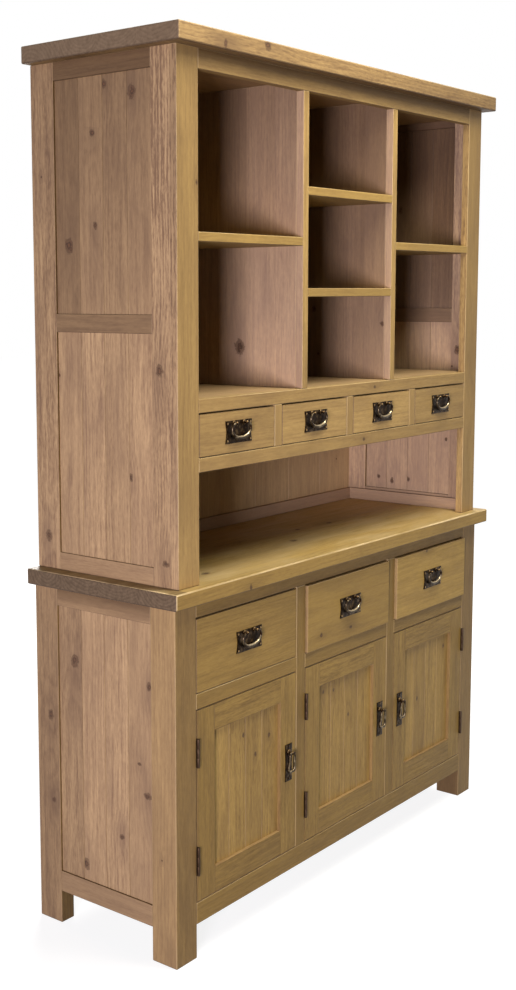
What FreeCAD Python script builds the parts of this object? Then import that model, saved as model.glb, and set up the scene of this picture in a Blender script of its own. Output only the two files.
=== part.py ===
import FreeCAD, Part
import math
import os

# Rustic pine sideboard with a hutch, in millimetres. +Z is up and the front faces -Y.
# The origin is on the floor, under the middle of the outline seen from above.

# Heights, from the floor to the top
foot_height = 78.0
bottom_rail_height = 49.0
door_opening_height = 439.0
drawer_rail_height = 35.0
base_drawer_opening_height = 169.0
base_top_rail_height = 34.0
worktop_thickness = 36.0
niche_height = 243.0
lower_rail_height = 31.0
small_drawer_opening_height = 96.0
deck_rail_height = 30.0
bay_height = 680.0
hutch_top_rail_height = 42.0
cornice_thickness = 38.0

# Widths, along X
base_width = 1350.0
leg_width = 70.0
back_leg_thickness = 40.0
base_stile_width = 36.0
hutch_width = 1325.0
hutch_stile_width = 70.0
middle_bay_width = 374.0
divider_thickness = 22.0
small_drawer_stile_width = 28.0
worktop_side_overhang = 25.0
cornice_side_overhang = 27.5

# Depths, along Y
carcass_depth = 420.0
worktop_front_overhang = 25.0
cornice_front_overhang = 30.0
leg_depth = 70.0
side_front_post_depth = 70.0
side_back_post_depth = 70.0
hutch_frame_thickness = 20.0
base_frame_thickness = 22.0
back_board_thickness = 12.0

# Side frames and their boards
side_frame_thickness = 22.0
base_side_rail_thickness = 25.0
hutch_side_rail_height = 40.0
lower_side_panel_height = 498.0
base_side_top_rail_height = 45.0
side_board_count = 4
side_board_thickness = 10.0
side_board_recess = 5.0
groove_depth = 8.0
groove_clearance = 0.2
board_joint_cut = 1.5
hutch_back_board_count = 8
base_back_board_count = 8

# Tenons of the face frames
tenon_length = 15.0
tenon_thickness = 8.0
tenon_shoulder = 5.0
tenon_clearance = 0.2

# Shelves, inner boards and battens
shelves_in_bays = (1, 2, 1)
shelf_thickness = 20.0
cross_board_thickness = 20.0
drawer_floor_thickness = 18.0
drawer_board_thickness = 18.0
base_floor_thickness = 18.0
partition_thickness = 18.0
cupboard_shelf_height = 210.0
cupboard_shelf_thickness = 18.0
cupboard_shelf_set_back = 45.0
cupboard_shelf_clearance = 1.0
guide_height = 25.0
cleat_width = 18.0
cleat_height = 25.0
stop_depth = 20.0
stop_height = 38.0
stop_side_gap = 30.0
stop_clearance = 0.5
niche_batten_height = 33.0
niche_batten_thickness = 12.0
screw_radius = 2.0
screw_head_radius = 4.0
screw_head_height = 2.5
screw_length = 50.0
screw_spacing = 600.0
edge_ease = 3.0

# Drawers
small_drawer_count = 4
base_bay_count = 3
base_drawer_ajar = (0.0, 6.0, 7.0)
drawer_gap_side = 2.0
drawer_gap_top = 3.0
drawer_gap_bottom = 1.5
drawer_front_thickness = 20.0
drawer_side_thickness = 10.0
drawer_side_inset = 1.0
drawer_side_drop = 15.0
drawer_bottom_thickness = 6.0
drawer_bottom_lift = 8.0
drawer_groove_depth = 5.0
drawer_running_clearance = 0.5
drawer_back_space = 20.0

# Plates and bails of the drawers
plate_width = 95.0
plate_height = 50.0
plate_thickness = 2.0
nail_radius = 2.5
nail_height = 1.2
nail_inset = 6.0
eye_spacing = 37.0
eye_drop = 6.0
eye_radius = 4.0
eye_reach = 12.0
eye_pivot_reach = 8.5
bail_pin_radius = 1.6
bail_pin_length = 6.0
bail_wire_radius = 2.5
bail_half_width = 33.5
bail_drop = 33.0
bail_shoulder_radius = 7.5
bail_side_radius = 14.0
eye_side_clearance = 0.4
pin_clearance = 0.05

# Doors
door_gap = 2.0
door_thickness = 22.0
door_stile_width = 62.0
door_rail_height = 60.0
door_board_count = 4
door_board_thickness = 8.0
door_board_recess = 9.0
door_hinge_sides = (-1, -1, 1)

# Hinges of the doors
hinge_length = 65.0
hinge_inset = 62.0
hinge_leaf_thickness = 1.0
hinge_leaf_depth = 16.0
hinge_leaf_gap = 0.6
hinge_pin_radius = 1.75
knuckle_radius = 3.5
knuckle_clearance = 0.4
knuckle_end_gap = 0.3

# Plates and drop rings of the doors
pull_plate_width = 27.0
pull_plate_height = 91.0
pull_height = 350.0
pull_eye_drop = 20.0
pull_eye_radius = 4.0
pull_eye_reach = 14.5
pull_pivot_reach = 10.5
drop_wire_radius = 2.0
drop_top_width = 16.0
drop_bottom_width = 22.0
drop_height = 46.0
drop_corner_radius = 3.5

# Levels that follow from the heights
z_door = foot_height + bottom_rail_height
z_drawer_rail = z_door + door_opening_height
z_base_drawer = z_drawer_rail + drawer_rail_height
z_base_top_rail = z_base_drawer + base_drawer_opening_height
z_worktop = z_base_top_rail + base_top_rail_height
z_niche = z_worktop + worktop_thickness
z_lower_rail = z_niche + niche_height
z_small_drawer = z_lower_rail + lower_rail_height
z_deck_rail = z_small_drawer + small_drawer_opening_height
z_bay = z_deck_rail + deck_rail_height
z_top_rail = z_bay + bay_height
z_cornice = z_top_rail + hutch_top_rail_height
z_top = z_cornice + cornice_thickness

# Planes across the width and the depth
x_base = base_width / 2
x_leg = x_base - leg_width
x_back_leg = x_base - back_leg_thickness
x_base_side = x_base - base_side_rail_thickness
x_hutch = hutch_width / 2
x_stile = x_hutch - hutch_stile_width
x_side = x_hutch - side_frame_thickness
x_divider = middle_bay_width / 2
y_back = (carcass_depth + max(cornice_front_overhang, worktop_front_overhang)) / 2
y_front = y_back - carcass_depth
y_lining = y_back - back_board_thickness
y_hutch_inside = y_front + hutch_frame_thickness
y_base_inside = y_front + base_frame_thickness
y_leg = y_front + leg_depth
y_front_post = y_front + side_front_post_depth
y_back_post = y_back - side_back_post_depth
tongue = groove_depth - groove_clearance
hinge_gap = 2 * hinge_leaf_thickness + hinge_leaf_gap
z_drawer_board = z_base_drawer - drawer_board_thickness
z_cupboard_shelf = z_door + cupboard_shelf_height


def openings(first, last, count, divider):
    """Low and high edge of equal openings that stand side by side with a divider between."""
    width = (last - first - (count - 1) * divider) / count
    lows = [first + i * (width + divider) for i in range(count)]
    return [(low, low + width) for low in lows]


base_bays = openings(-x_leg, x_leg, base_bay_count, base_stile_width)
small_bays = openings(-x_stile, x_stile, small_drawer_count, small_drawer_stile_width)
x_outer_divider = x_divider + divider_thickness
hutch_bays = [(-x_side, -x_outer_divider), (-x_divider, x_divider), (x_outer_divider, x_side)]
hutch_mouths = [(-x_stile, -x_outer_divider), (-x_divider, x_divider), (x_outer_divider, x_stile)]


def block(x, y, z):
    """Board whose sides follow the axes, from three pairs of low and high."""
    size = [high - low for low, high in (x, y, z)]
    return Part.makeBox(*size, FreeCAD.Vector(x[0], y[0], z[0]))


def on_side(side, inner, outer):
    """Pair of X values on the left (-1) or the right (+1)."""
    return tuple(sorted((side * inner, side * outer)))


def grown(pair, amount):
    """The pair with both ends moved outwards."""
    return (pair[0] - amount, pair[1] + amount)


def post(x, y, radius, z):
    """Round bar along Z."""
    return Part.makeCylinder(radius, z[1] - z[0], FreeCAD.Vector(x, y, z[0]))


def upright_boards(across, count, face, back, z, edge, along_x):
    """Boards edge to edge with a V cut at each joint. The outer two reach further by the edge."""
    width = (across[1] - across[0]) / count
    cut = math.copysign(board_joint_cut, back - face)
    solids = []
    for i in range(count):
        low = across[0] + i * width - (edge if i == 0 else 0.0)
        high = across[0] + (i + 1) * width + (edge if i == count - 1 else 0.0)
        outline = [(low, back), (low, face + cut), (low + board_joint_cut, face)]
        outline += [(high - board_joint_cut, face), (high, face + cut), (high, back)]
        if not along_x:
            outline = [(depth, place) for place, depth in outline]
        corners = [FreeCAD.Vector(x, y, z[0]) for x, y in outline + outline[:1]]
        face_shape = Part.Face(Part.makePolygon(corners))
        solids.append(face_shape.extrude(FreeCAD.Vector(0, 0, z[1] - z[0])))
    return solids


def tenon(x, y, z, length, clearance=0.0):
    """Tenons at both ends of a rail as one bar, or with a clearance the room for them."""
    middle = (y[0] + y[1]) / 2
    half = tenon_thickness / 2
    height = (z[0] + tenon_shoulder, z[1] - tenon_shoulder)
    depth = (middle - half, middle + half)
    return block(grown(x, length + clearance), grown(depth, clearance), grown(height, clearance))


def front_rail(x, y, z, length):
    """Rail of a face frame with a tenon at each end."""
    return block(x, y, z).fuse(tenon(x, y, z, length)).removeSplitter()


# Side frames: grooves hold the boards, and tongues on the rails hold the posts
def side_groove_x(side, x_outer):
    face = x_outer - side_board_recess
    return on_side(side, face - side_board_thickness - groove_clearance, face)


def side_rail(side, x_inner, x_outer, y, z, groove_under, groove_over):
    """Rail between two posts, with a tongue at each end and grooves for the boards."""
    face = x_outer - side_board_recess
    tongue_x = on_side(side, face - side_board_thickness, face)
    rail = block(on_side(side, x_inner, x_outer), y, z)
    rail = rail.fuse(block(tongue_x, grown(y, tongue), z)).removeSplitter()
    groove_x = side_groove_x(side, x_outer)
    if groove_under:
        rail = rail.cut(block(groove_x, grown(y, tongue), (z[0], z[0] + groove_depth)))
    if groove_over:
        rail = rail.cut(block(groove_x, grown(y, tongue), (z[1] - groove_depth, z[1])))
    return rail


def side_boards(side, x_outer, y, z):
    """Four upright boards that stand in the grooves of a side frame."""
    face = side * (x_outer - side_board_recess)
    back = face - side * side_board_thickness
    height = (z[0] - groove_depth, z[1] + tongue)
    return upright_boards(y, side_board_count, face, back, height, tongue, False)


hutch_side_y = (y_front_post, y_back_post)
z_side_lower = z_niche + hutch_side_rail_height
z_side_middle = z_side_lower + lower_side_panel_height
z_side_upper = z_side_middle + hutch_side_rail_height
z_side_top = z_cornice - hutch_side_rail_height


def hutch_side_frames():
    solids = []
    for side in (-1, 1):
        x = on_side(side, x_side, x_hutch)
        groove_x = side_groove_x(side, x_hutch)
        z = (z_niche, z_cornice)
        front = block(x, (y_hutch_inside, y_front_post), z)
        solids.append(front.cut(block(groove_x, (y_front_post - groove_depth, y_front_post), z)))
        back = block(x, (y_back_post, y_back), z)
        solids.append(back.cut(block(groove_x, (y_back_post, y_back_post + groove_depth), z)))
        rails = [(z_niche, z_side_lower, False, True)]
        rails.append((z_side_middle, z_side_upper, True, True))
        rails.append((z_side_top, z_cornice, True, False))
        for low, high, under, over in rails:
            solids.append(side_rail(side, x_side, x_hutch, hutch_side_y, (low, high), under, over))
    return solids


def hutch_side_boards():
    solids = []
    for side in (-1, 1):
        solids += side_boards(side, x_hutch, hutch_side_y, (z_side_lower, z_side_middle))
        solids += side_boards(side, x_hutch, hutch_side_y, (z_side_upper, z_side_top))
    return solids


base_side_y = (y_leg, y_back_post)
z_base_side_top = z_worktop - base_side_top_rail_height


def base_side_rails():
    solids = []
    for side in (-1, 1):
        low = (foot_height, z_door)
        high = (z_base_side_top, z_worktop)
        solids.append(side_rail(side, x_base_side, x_base, base_side_y, low, False, True))
        solids.append(side_rail(side, x_base_side, x_base, base_side_y, high, True, False))
    return solids


def base_side_boards():
    solids = []
    for side in (-1, 1):
        solids += side_boards(side, x_base, base_side_y, (z_door, z_base_side_top))
    return solids


# Face frame of the hutch
hutch_frame_y = (y_front, y_hutch_inside)
hutch_rail_x = (-x_stile, x_stile)
hutch_rail_heights = [(z_lower_rail, z_small_drawer), (z_deck_rail, z_bay), (z_top_rail, z_cornice)]


def hutch_front_frame():
    solids = []
    rooms = []
    for z in hutch_rail_heights:
        solids.append(front_rail(hutch_rail_x, hutch_frame_y, z, tenon_length))
        rooms.append(tenon(hutch_rail_x, hutch_frame_y, z, tenon_length, tenon_clearance))
    for side in (-1, 1):
        stile = block(on_side(side, x_stile, x_hutch), hutch_frame_y, (z_niche, z_cornice))
        solids.append(stile.cut(rooms))
    for left, right in zip(small_bays, small_bays[1:]):
        solids.append(block((left[1], right[0]), hutch_frame_y, (z_small_drawer, z_deck_rail)))
    return solids


# Inside of the hutch
hutch_inside_y = (y_hutch_inside, y_lining)
z_ceiling = z_cornice - cross_board_thickness


def hutch_cross_boards():
    x = (-x_side, x_side)
    top = block(x, hutch_inside_y, (z_ceiling, z_cornice))
    deck = block(x, hutch_inside_y, (z_bay - cross_board_thickness, z_bay))
    floor = block(x, hutch_inside_y, (z_small_drawer - drawer_floor_thickness, z_small_drawer))
    return [top, deck, floor]


def hutch_dividers():
    solids = []
    for side in (-1, 1):
        x = on_side(side, x_divider, x_outer_divider)
        solids.append(block(x, hutch_inside_y, (z_bay, z_ceiling)))
        solids.append(block(x, hutch_frame_y, (z_bay, z_top_rail)))
    return solids


def shelf_levels(count):
    """Undersides of shelves that share the height of a bay evenly."""
    clear = (bay_height - count * shelf_thickness) / (count + 1)
    return [z_bay + (i + 1) * clear + i * shelf_thickness for i in range(count)]


def hutch_shelves():
    """Each shelf reaches the front between the stiles and fills its bay behind them."""
    solids = []
    for count, bay, mouth in zip(shelves_in_bays, hutch_bays, hutch_mouths):
        for level in shelf_levels(count):
            z = (level, level + shelf_thickness)
            shelf = block(bay, hutch_inside_y, z).fuse(block(mouth, hutch_frame_y, z))
            solids.append(shelf.removeSplitter())
    return solids


def hutch_drawer_guides():
    z = (z_small_drawer, z_small_drawer + guide_height)
    edges = [-x_side] + [edge for bay in small_bays for edge in bay] + [x_side]
    pairs = zip(edges[0::2], edges[1::2])
    return [block(pair, hutch_inside_y, z) for pair in pairs]


def hutch_back_boards():
    z = (z_niche, z_cornice)
    return upright_boards((-x_side, x_side), hutch_back_board_count, y_lining, y_back, z, 0.0, True)


# Battens in the niche and the screws that hold them on the worktop
x_side_batten = x_side - niche_batten_thickness
y_back_batten = y_lining - niche_batten_thickness
z_batten_top = z_niche + niche_batten_height
screw_places = [(i * screw_spacing / 2, y_lining - niche_batten_thickness / 2) for i in (-1, 1)]
screw_places += [(i * (x_side - niche_batten_thickness / 2), 0.0) for i in (-1, 1)]


def screw(place):
    head_z = z_batten_top - screw_head_height
    shank = post(*place, screw_radius, (z_batten_top - screw_length, head_z))
    return shank.fuse(post(*place, screw_head_radius, (head_z, z_batten_top))).removeSplitter()


def hutch_fixing_screws():
    return [screw(place) for place in screw_places]


def niche_battens():
    z = (z_niche, z_batten_top)
    battens = [block((-x_side_batten, x_side_batten), (y_back_batten, y_lining), z)]
    for side in (-1, 1):
        battens.append(block(on_side(side, x_side_batten, x_side), hutch_inside_y, z))
    return [batten.cut(hutch_fixing_screws()) for batten in battens]


# Boards on top of the base and of the hutch
def eased(board):
    return board.makeChamfer(edge_ease, board.Edges)


def worktop():
    x = x_base + worktop_side_overhang
    board = block((-x, x), (y_front - worktop_front_overhang, y_back), (z_worktop, z_niche))
    return [eased(board).cut(hutch_fixing_screws())]


def cornice_board():
    x = x_hutch + cornice_side_overhang
    return [eased(block((-x, x), (y_front - cornice_front_overhang, y_back), (z_cornice, z_top)))]


# Legs and face frame of the base
base_frame_y = (y_front, y_base_inside)
base_rail_x = (-x_leg, x_leg)
base_long_rails = [(foot_height, z_door), (z_base_top_rail, z_worktop)]
drawer_rail_z = (z_drawer_rail, z_base_drawer)
stile_tenon_length = min(tenon_length, base_stile_width / 3)


def base_rail_rooms():
    """Room for every tenon in the legs and the stiles."""
    rooms = [tenon(base_rail_x, base_frame_y, z, tenon_length, tenon_clearance) for z in base_long_rails]
    for bay in base_bays:
        rooms.append(tenon(bay, base_frame_y, drawer_rail_z, stile_tenon_length, tenon_clearance))
    return rooms


def base_front_legs():
    solids = []
    for side in (-1, 1):
        leg = block(on_side(side, x_leg, x_base), (y_front, y_leg), (0.0, z_worktop))
        groove_x = side_groove_x(side, x_base)
        leg = leg.cut(block(groove_x, (y_leg - groove_depth, y_leg), (foot_height, z_worktop)))
        solids.append(leg.cut(base_rail_rooms()))
    return solids


def base_back_legs():
    solids = []
    for side in (-1, 1):
        leg = block(on_side(side, x_back_leg, x_base), (y_back_post, y_back), (0.0, z_worktop))
        groove_x = side_groove_x(side, x_base)
        groove_y = (y_back_post, y_back_post + groove_depth)
        solids.append(leg.cut(block(groove_x, groove_y, (foot_height, z_worktop))))
    return solids


def base_front_frame():
    solids = [front_rail(base_rail_x, base_frame_y, z, tenon_length) for z in base_long_rails]
    solids += [front_rail(bay, base_frame_y, drawer_rail_z, stile_tenon_length) for bay in base_bays]
    for left, right in zip(base_bays, base_bays[1:]):
        stile = block((left[1], right[0]), base_frame_y, (z_door, z_base_top_rail))
        solids.append(stile.cut(base_rail_rooms()))
    return solids


# Inside of the base
base_inside_y = (y_base_inside, y_lining)
stile_middles = [(left[1] + right[0]) / 2 for left, right in zip(base_bays, base_bays[1:])]
partition_pairs = [grown((x, x), partition_thickness / 2) for x in stile_middles]
partition_faces = [-x_leg] + [face for pair in partition_pairs for face in pair] + [x_leg]
base_rooms = list(zip(partition_faces[0::2], partition_faces[1::2]))


def base_partitions():
    return [block(pair, base_inside_y, (z_door, z_worktop)) for pair in partition_pairs]


def leg_wing(side, z):
    """Part of a board beyond the front legs, notched round both legs of one side."""
    wing = block(on_side(side, x_leg, x_base_side), base_side_y, z)
    return wing.fuse(block(on_side(side, x_leg, x_back_leg), (y_back_post, y_lining), z))


def base_floor():
    z = (z_door - base_floor_thickness, z_door)
    floor = block((-x_leg, x_leg), base_inside_y, z)
    return [floor.fuse([leg_wing(side, z) for side in (-1, 1)]).removeSplitter()]


def base_drawer_boards():
    """Boards that the drawers run on. The outer two reach the sides between the legs."""
    z = (z_drawer_board, z_base_drawer)
    solids = [block(room, base_inside_y, z) for room in base_rooms]
    for index, side in ((0, -1), (len(solids) - 1, 1)):
        solids[index] = solids[index].fuse(leg_wing(side, z)).removeSplitter()
    return solids


def base_shelves():
    z = (z_cupboard_shelf, z_cupboard_shelf + cupboard_shelf_thickness)
    y = (y_front + cupboard_shelf_set_back, y_lining)
    return [block(grown(room, -cupboard_shelf_clearance), y, z) for room in base_rooms]


def drawer_guide_strips():
    """Strips beside each drawer, between the edge of its opening and the partition or the leg."""
    z = (z_base_drawer, z_base_drawer + guide_height)
    solids = []
    for room, bay in zip(base_rooms, base_bays):
        if room[0] < bay[0]:
            solids.append(block((room[0], bay[0]), base_inside_y, z))
        if bay[1] < room[1]:
            solids.append(block((bay[1], room[1]), base_inside_y, z))
    for side in (-1, 1):
        solids.append(block(on_side(side, x_leg, x_back_leg), (y_leg, y_lining), z))
    return solids


def shelf_cleats():
    y = (y_front + cupboard_shelf_set_back, y_lining)
    z = (z_cupboard_shelf - cleat_height, z_cupboard_shelf)
    solids = []
    for low, high in base_rooms:
        solids.append(block((low, low + cleat_width), y, z))
        solids.append(block((high - cleat_width, high), y, z))
    return solids


def door_stops():
    y_stop = y_front + door_thickness + stop_clearance
    z = (z_drawer_board - stop_height, z_drawer_board)
    return [block(grown(bay, -stop_side_gap), (y_stop, y_stop + stop_depth), z) for bay in base_bays]


def base_inner_battens():
    return drawer_guide_strips() + shelf_cleats() + door_stops()


def base_back_boards():
    x = (-x_back_leg, x_back_leg)
    z = (foot_height, z_worktop)
    return upright_boards(x, base_back_board_count, y_lining, y_back, z, 0.0, True)


# Drawers
y_drawer_end = y_lining - drawer_back_space


def drawer(bay, z, ajar):
    """Front, two sides, back and a bottom in grooves, pulled out by the given amount."""
    y_face = y_front - ajar
    y_box = y_face + drawer_front_thickness
    y_end = y_drawer_end - ajar
    front_x = grown(bay, -drawer_gap_side)
    box_x = grown(front_x, -drawer_side_inset)
    inner_x = grown(box_x, -drawer_side_thickness)
    z_low = z[0] + drawer_running_clearance
    z_high = z[1] - drawer_side_drop
    z_bottom = z_low + drawer_bottom_lift
    z_bottom_top = z_bottom + drawer_bottom_thickness
    groove = block(grown(inner_x, drawer_groove_depth), (y_box - drawer_groove_depth, y_end),
                   (z_bottom, z_bottom_top + groove_clearance))
    front = block(front_x, (y_face, y_box), (z[0] + drawer_gap_bottom, z[1] - drawer_gap_top))
    left = block((box_x[0], inner_x[0]), (y_box, y_end), (z_low, z_high))
    right = block((inner_x[1], box_x[1]), (y_box, y_end), (z_low, z_high))
    back = block(inner_x, (y_end - drawer_side_thickness, y_end), (z_bottom_top, z_high))
    reach = drawer_groove_depth - groove_clearance
    bottom = block(grown(inner_x, reach), (y_box - reach, y_end), (z_bottom, z_bottom_top))
    return [front.cut(groove), left.cut(groove), right.cut(groove), back, bottom]


def round_bar(start, end, radius):
    """Round bar between two points."""
    return Part.makeCylinder(radius, (end - start).Length, start, end - start)


def tube(edges, radius):
    """Round wire along a path of straight runs and tangent arcs."""
    path = Part.Wire(edges)
    first = edges[0]
    start = first.valueAt(first.FirstParameter)
    ring = Part.makeCircle(radius, start, first.tangentAt(first.FirstParameter))
    return path.makePipeShell([Part.Wire(ring)], True, False)


def eye(x, y_plate, z, radius, reach, hole_y, hole_radius):
    """Round stud that stands on a plate, with a cross hole along X."""
    stud = round_bar(FreeCAD.Vector(x, y_plate, z), FreeCAD.Vector(x, y_plate - reach, z), radius)
    hole_start = FreeCAD.Vector(x - 2 * radius, hole_y, z)
    hole_end = FreeCAD.Vector(x + 2 * radius, hole_y, z)
    return stud.cut(round_bar(hole_start, hole_end, hole_radius))


def nailed_plate(x, y_face, z, width, height, nail_places):
    """Flat plate on a wooden face, with nail heads."""
    y_plate = y_face - plate_thickness
    plate = block(grown((x, x), width / 2), (y_plate, y_face), grown((z, z), height / 2))
    forward = FreeCAD.Vector(0, -1, 0)
    for nail_x, nail_z in nail_places:
        place = FreeCAD.Vector(x + nail_x, y_plate, z + nail_z)
        plate = plate.fuse(Part.makeCone(nail_radius, nail_radius / 2, nail_height, place, forward))
    return plate


def drawer_pivot(bay, z, ajar):
    """Middle of the line that a bail swings about."""
    front_z = (z[0] + drawer_gap_bottom + z[1] - drawer_gap_top) / 2
    y = y_front - ajar - plate_thickness - eye_pivot_reach
    return FreeCAD.Vector((bay[0] + bay[1]) / 2, y, front_z + plate_height / 2 - eye_drop)


def drawer_plate(bay, z, ajar):
    pivot = drawer_pivot(bay, z, ajar)
    middle_z = pivot.z + eye_drop - plate_height / 2
    nail_x = plate_width / 2 - nail_inset
    nail_z = plate_height / 2 - nail_inset
    places = [(i * nail_x, j * nail_z) for i in (-1, 1) for j in (-1, 1)]
    solids = [nailed_plate(pivot.x, y_front - ajar, middle_z, plate_width, plate_height, places)]
    y_plate = y_front - ajar - plate_thickness
    hole = bail_pin_radius + pin_clearance
    for side in (-1, 1):
        x = pivot.x + side * eye_spacing / 2
        solids.append(eye(x, y_plate, pivot.z, eye_radius, eye_reach, pivot.y, hole))
    return solids


def bail(bay, z, ajar):
    """Wire bail whose thinner ends turn inwards into the two eyes."""
    pivot = drawer_pivot(bay, z, ajar)
    shoulder = bail_shoulder_radius
    side_radius = bail_side_radius
    width = bail_half_width - side_radius
    fall = bail_drop - shoulder
    low_radius = (width ** 2 + fall ** 2 - side_radius ** 2) / (2 * (fall - side_radius))
    turn = math.atan2(low_radius - fall, width)
    start_x = eye_spacing / 2 + eye_radius + eye_side_clearance

    def point(x, z_down):
        return pivot + FreeCAD.Vector(x, 0, -z_down)

    def half(side):
        """Points of one half from the eye down: straight end, shoulder arc, side arc."""
        corner = bail_half_width - shoulder
        bend = shoulder / math.sqrt(2)
        flat = [(start_x, 0), (corner, 0), (corner + bend, shoulder - bend), (bail_half_width, shoulder)]
        for angle in (turn / 2, turn):
            flat.append((width + side_radius * math.cos(angle), shoulder + side_radius * math.sin(angle)))
        return [point(side * x, z_down) for x, z_down in flat]

    left = half(-1)
    right = half(1)
    runs = [Part.LineSegment(*left[0:2]), Part.Arc(*left[1:4]), Part.Arc(*left[3:6])]
    runs.append(Part.Arc(left[5], point(0, bail_drop), right[5]))
    runs += [Part.Arc(*right[5:2:-1]), Part.Arc(*right[3:0:-1]), Part.LineSegment(*right[1::-1])]
    wire = tube([run.toShape() for run in runs], bail_wire_radius)
    for side in (-1, 1):
        tip = point(side * (start_x - bail_pin_length), 0)
        wire = wire.fuse(round_bar(tip, point(side * start_x, 0), bail_pin_radius))
    return [wire]


# Doors
def door_extent(index):
    """Low and high X of a door inside its opening."""
    low, high = base_bays[index]
    if door_hinge_sides[index] < 0:
        return (low + hinge_gap, high - door_gap)
    return (low + door_gap, high - hinge_gap)


door_z = (z_door + door_gap, z_drawer_rail - door_gap)
door_y = (y_front, y_front + door_thickness)
door_board_y = y_front + door_board_recess
door_groove_y = (door_board_y, door_board_y + door_board_thickness + groove_clearance)
door_panel_z = (door_z[0] + door_rail_height, door_z[1] - door_rail_height)


def door_panel_x(index):
    return grown(door_extent(index), -door_stile_width)


def door_frame(index):
    """Two stiles over the full height and two rails between them, grooved for the boards."""
    x = door_extent(index)
    inner = door_panel_x(index)
    groove = block(grown(inner, groove_depth), door_groove_y, door_z)
    solids = [block((x[0], inner[0]), door_y, door_z), block((inner[1], x[1]), door_y, door_z)]
    solids = [stile.cut(groove) for stile in solids]
    rail_groove = block(grown(inner, groove_depth), door_groove_y, grown(door_panel_z, groove_depth))
    tongue_y = (door_board_y, door_board_y + door_board_thickness)
    for z in ((door_z[0], door_panel_z[0]), (door_panel_z[1], door_z[1])):
        rail = block(inner, door_y, z).fuse(block(grown(inner, tongue), tongue_y, z))
        solids.append(rail.removeSplitter().cut(rail_groove))
    return solids


def door_panel(index):
    z = (door_panel_z[0] - groove_depth, door_panel_z[1] + tongue)
    back = door_board_y + door_board_thickness
    return upright_boards(door_panel_x(index), door_board_count, door_board_y, back, z, tongue, True)


def hinge_axis(index):
    """X and Y of the line that a door turns about."""
    side = door_hinge_sides[index]
    edge = base_bays[index][0] if side < 0 else base_bays[index][1]
    return (edge - side * hinge_gap / 2, y_front - knuckle_radius - knuckle_clearance)


hinge_bottoms = (door_z[0] + hinge_inset, door_z[1] - hinge_inset - hinge_length)


def knuckle_heights(bottom):
    """Heights of the three parts of a knuckle, from the bottom up."""
    third = hinge_length / 3
    levels = [bottom + i * third for i in range(3)]
    return [(level, level + third - knuckle_end_gap) for level in levels]


def hinge_leaf(index, bottom, towards_door, places):
    """Leaf in the gap beside the door, with the given parts of the knuckle."""
    axis_x, axis_y = hinge_axis(index)
    towards = -door_hinge_sides[index] * (1 if towards_door else -1)
    low = axis_x + towards * hinge_leaf_gap / 2
    high = low + towards * hinge_leaf_thickness
    x = (min(low, high), max(low, high))
    y_clear = axis_y + knuckle_radius + knuckle_clearance
    y_end = y_front + hinge_leaf_depth
    leaf = block(x, (y_clear, y_end), (bottom, bottom + hinge_length))
    for place in places:
        z = knuckle_heights(bottom)[place]
        leaf = leaf.fuse([block(x, (axis_y, y_clear), z), post(axis_x, axis_y, knuckle_radius, z)])
    return leaf.removeSplitter()


def door_hinge_leaves(index):
    axis = hinge_axis(index)
    solids = []
    for bottom in hinge_bottoms:
        bore = post(*axis, hinge_pin_radius + pin_clearance, (bottom, bottom + hinge_length))
        solids.append(hinge_leaf(index, bottom, True, (1,)).cut(bore))
    return solids


def frame_hinge_leaves():
    solids = []
    for index in range(base_bay_count):
        for bottom in hinge_bottoms:
            heights = knuckle_heights(bottom)
            pin = post(*hinge_axis(index), hinge_pin_radius, (heights[0][0], heights[2][1]))
            solids.append(hinge_leaf(index, bottom, False, (0, 2)).fuse(pin).removeSplitter())
    return solids


# Pulls of the doors
def pull_pivot(index):
    """Middle of the line that a drop ring swings about, on the stile away from the hinges."""
    x = door_extent(index)
    half = door_stile_width / 2
    middle = x[1] - half if door_hinge_sides[index] < 0 else x[0] + half
    y = y_front - plate_thickness - pull_pivot_reach
    return FreeCAD.Vector(middle, y, pull_height + pull_plate_height / 2 - pull_eye_drop)


def door_pull_plate(index):
    pivot = pull_pivot(index)
    y_plate = y_front - plate_thickness
    nail_z = pull_plate_height / 2 - nail_inset
    places = [(0.0, -nail_z), (0.0, nail_z)]
    plate = nailed_plate(pivot.x, y_front, pull_height, pull_plate_width, pull_plate_height, places)
    hole = drop_wire_radius + pin_clearance
    stud = eye(pivot.x, y_plate, pivot.z, pull_eye_radius, pull_eye_reach, pivot.y, hole)
    return [plate, stud]


def rounded_loop(corners, radius):
    """Closed path of straight runs with an arc at each corner."""
    arcs = []
    for index, corner in enumerate(corners):
        before = (corners[index - 1] - corner).normalize()
        after = (corners[(index + 1) % len(corners)] - corner).normalize()
        half = before.getAngle(after) / 2
        inwards = (before + after).normalize()
        centre = corner + inwards * (radius / math.sin(half))
        cut = radius / math.tan(half)
        arcs.append((corner + before * cut, centre - inwards * radius, corner + after * cut))
    edges = []
    for index, points in enumerate(arcs):
        edges.append(Part.LineSegment(arcs[index - 1][2], points[0]).toShape())
        edges.append(Part.Arc(*points).toShape())
    return edges


def door_drop(index):
    """Closed ring, wider at the bottom, whose top bar passes through the eye."""
    pivot = pull_pivot(index)
    top = drop_top_width / 2
    bottom = drop_bottom_width / 2
    outline = [(-top, 0), (top, 0), (bottom, -drop_height), (-bottom, -drop_height)]
    corners = [pivot + FreeCAD.Vector(x, 0, z) for x, z in outline]
    return [tube(rounded_loop(corners, drop_corner_radius), drop_wire_radius)]


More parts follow.
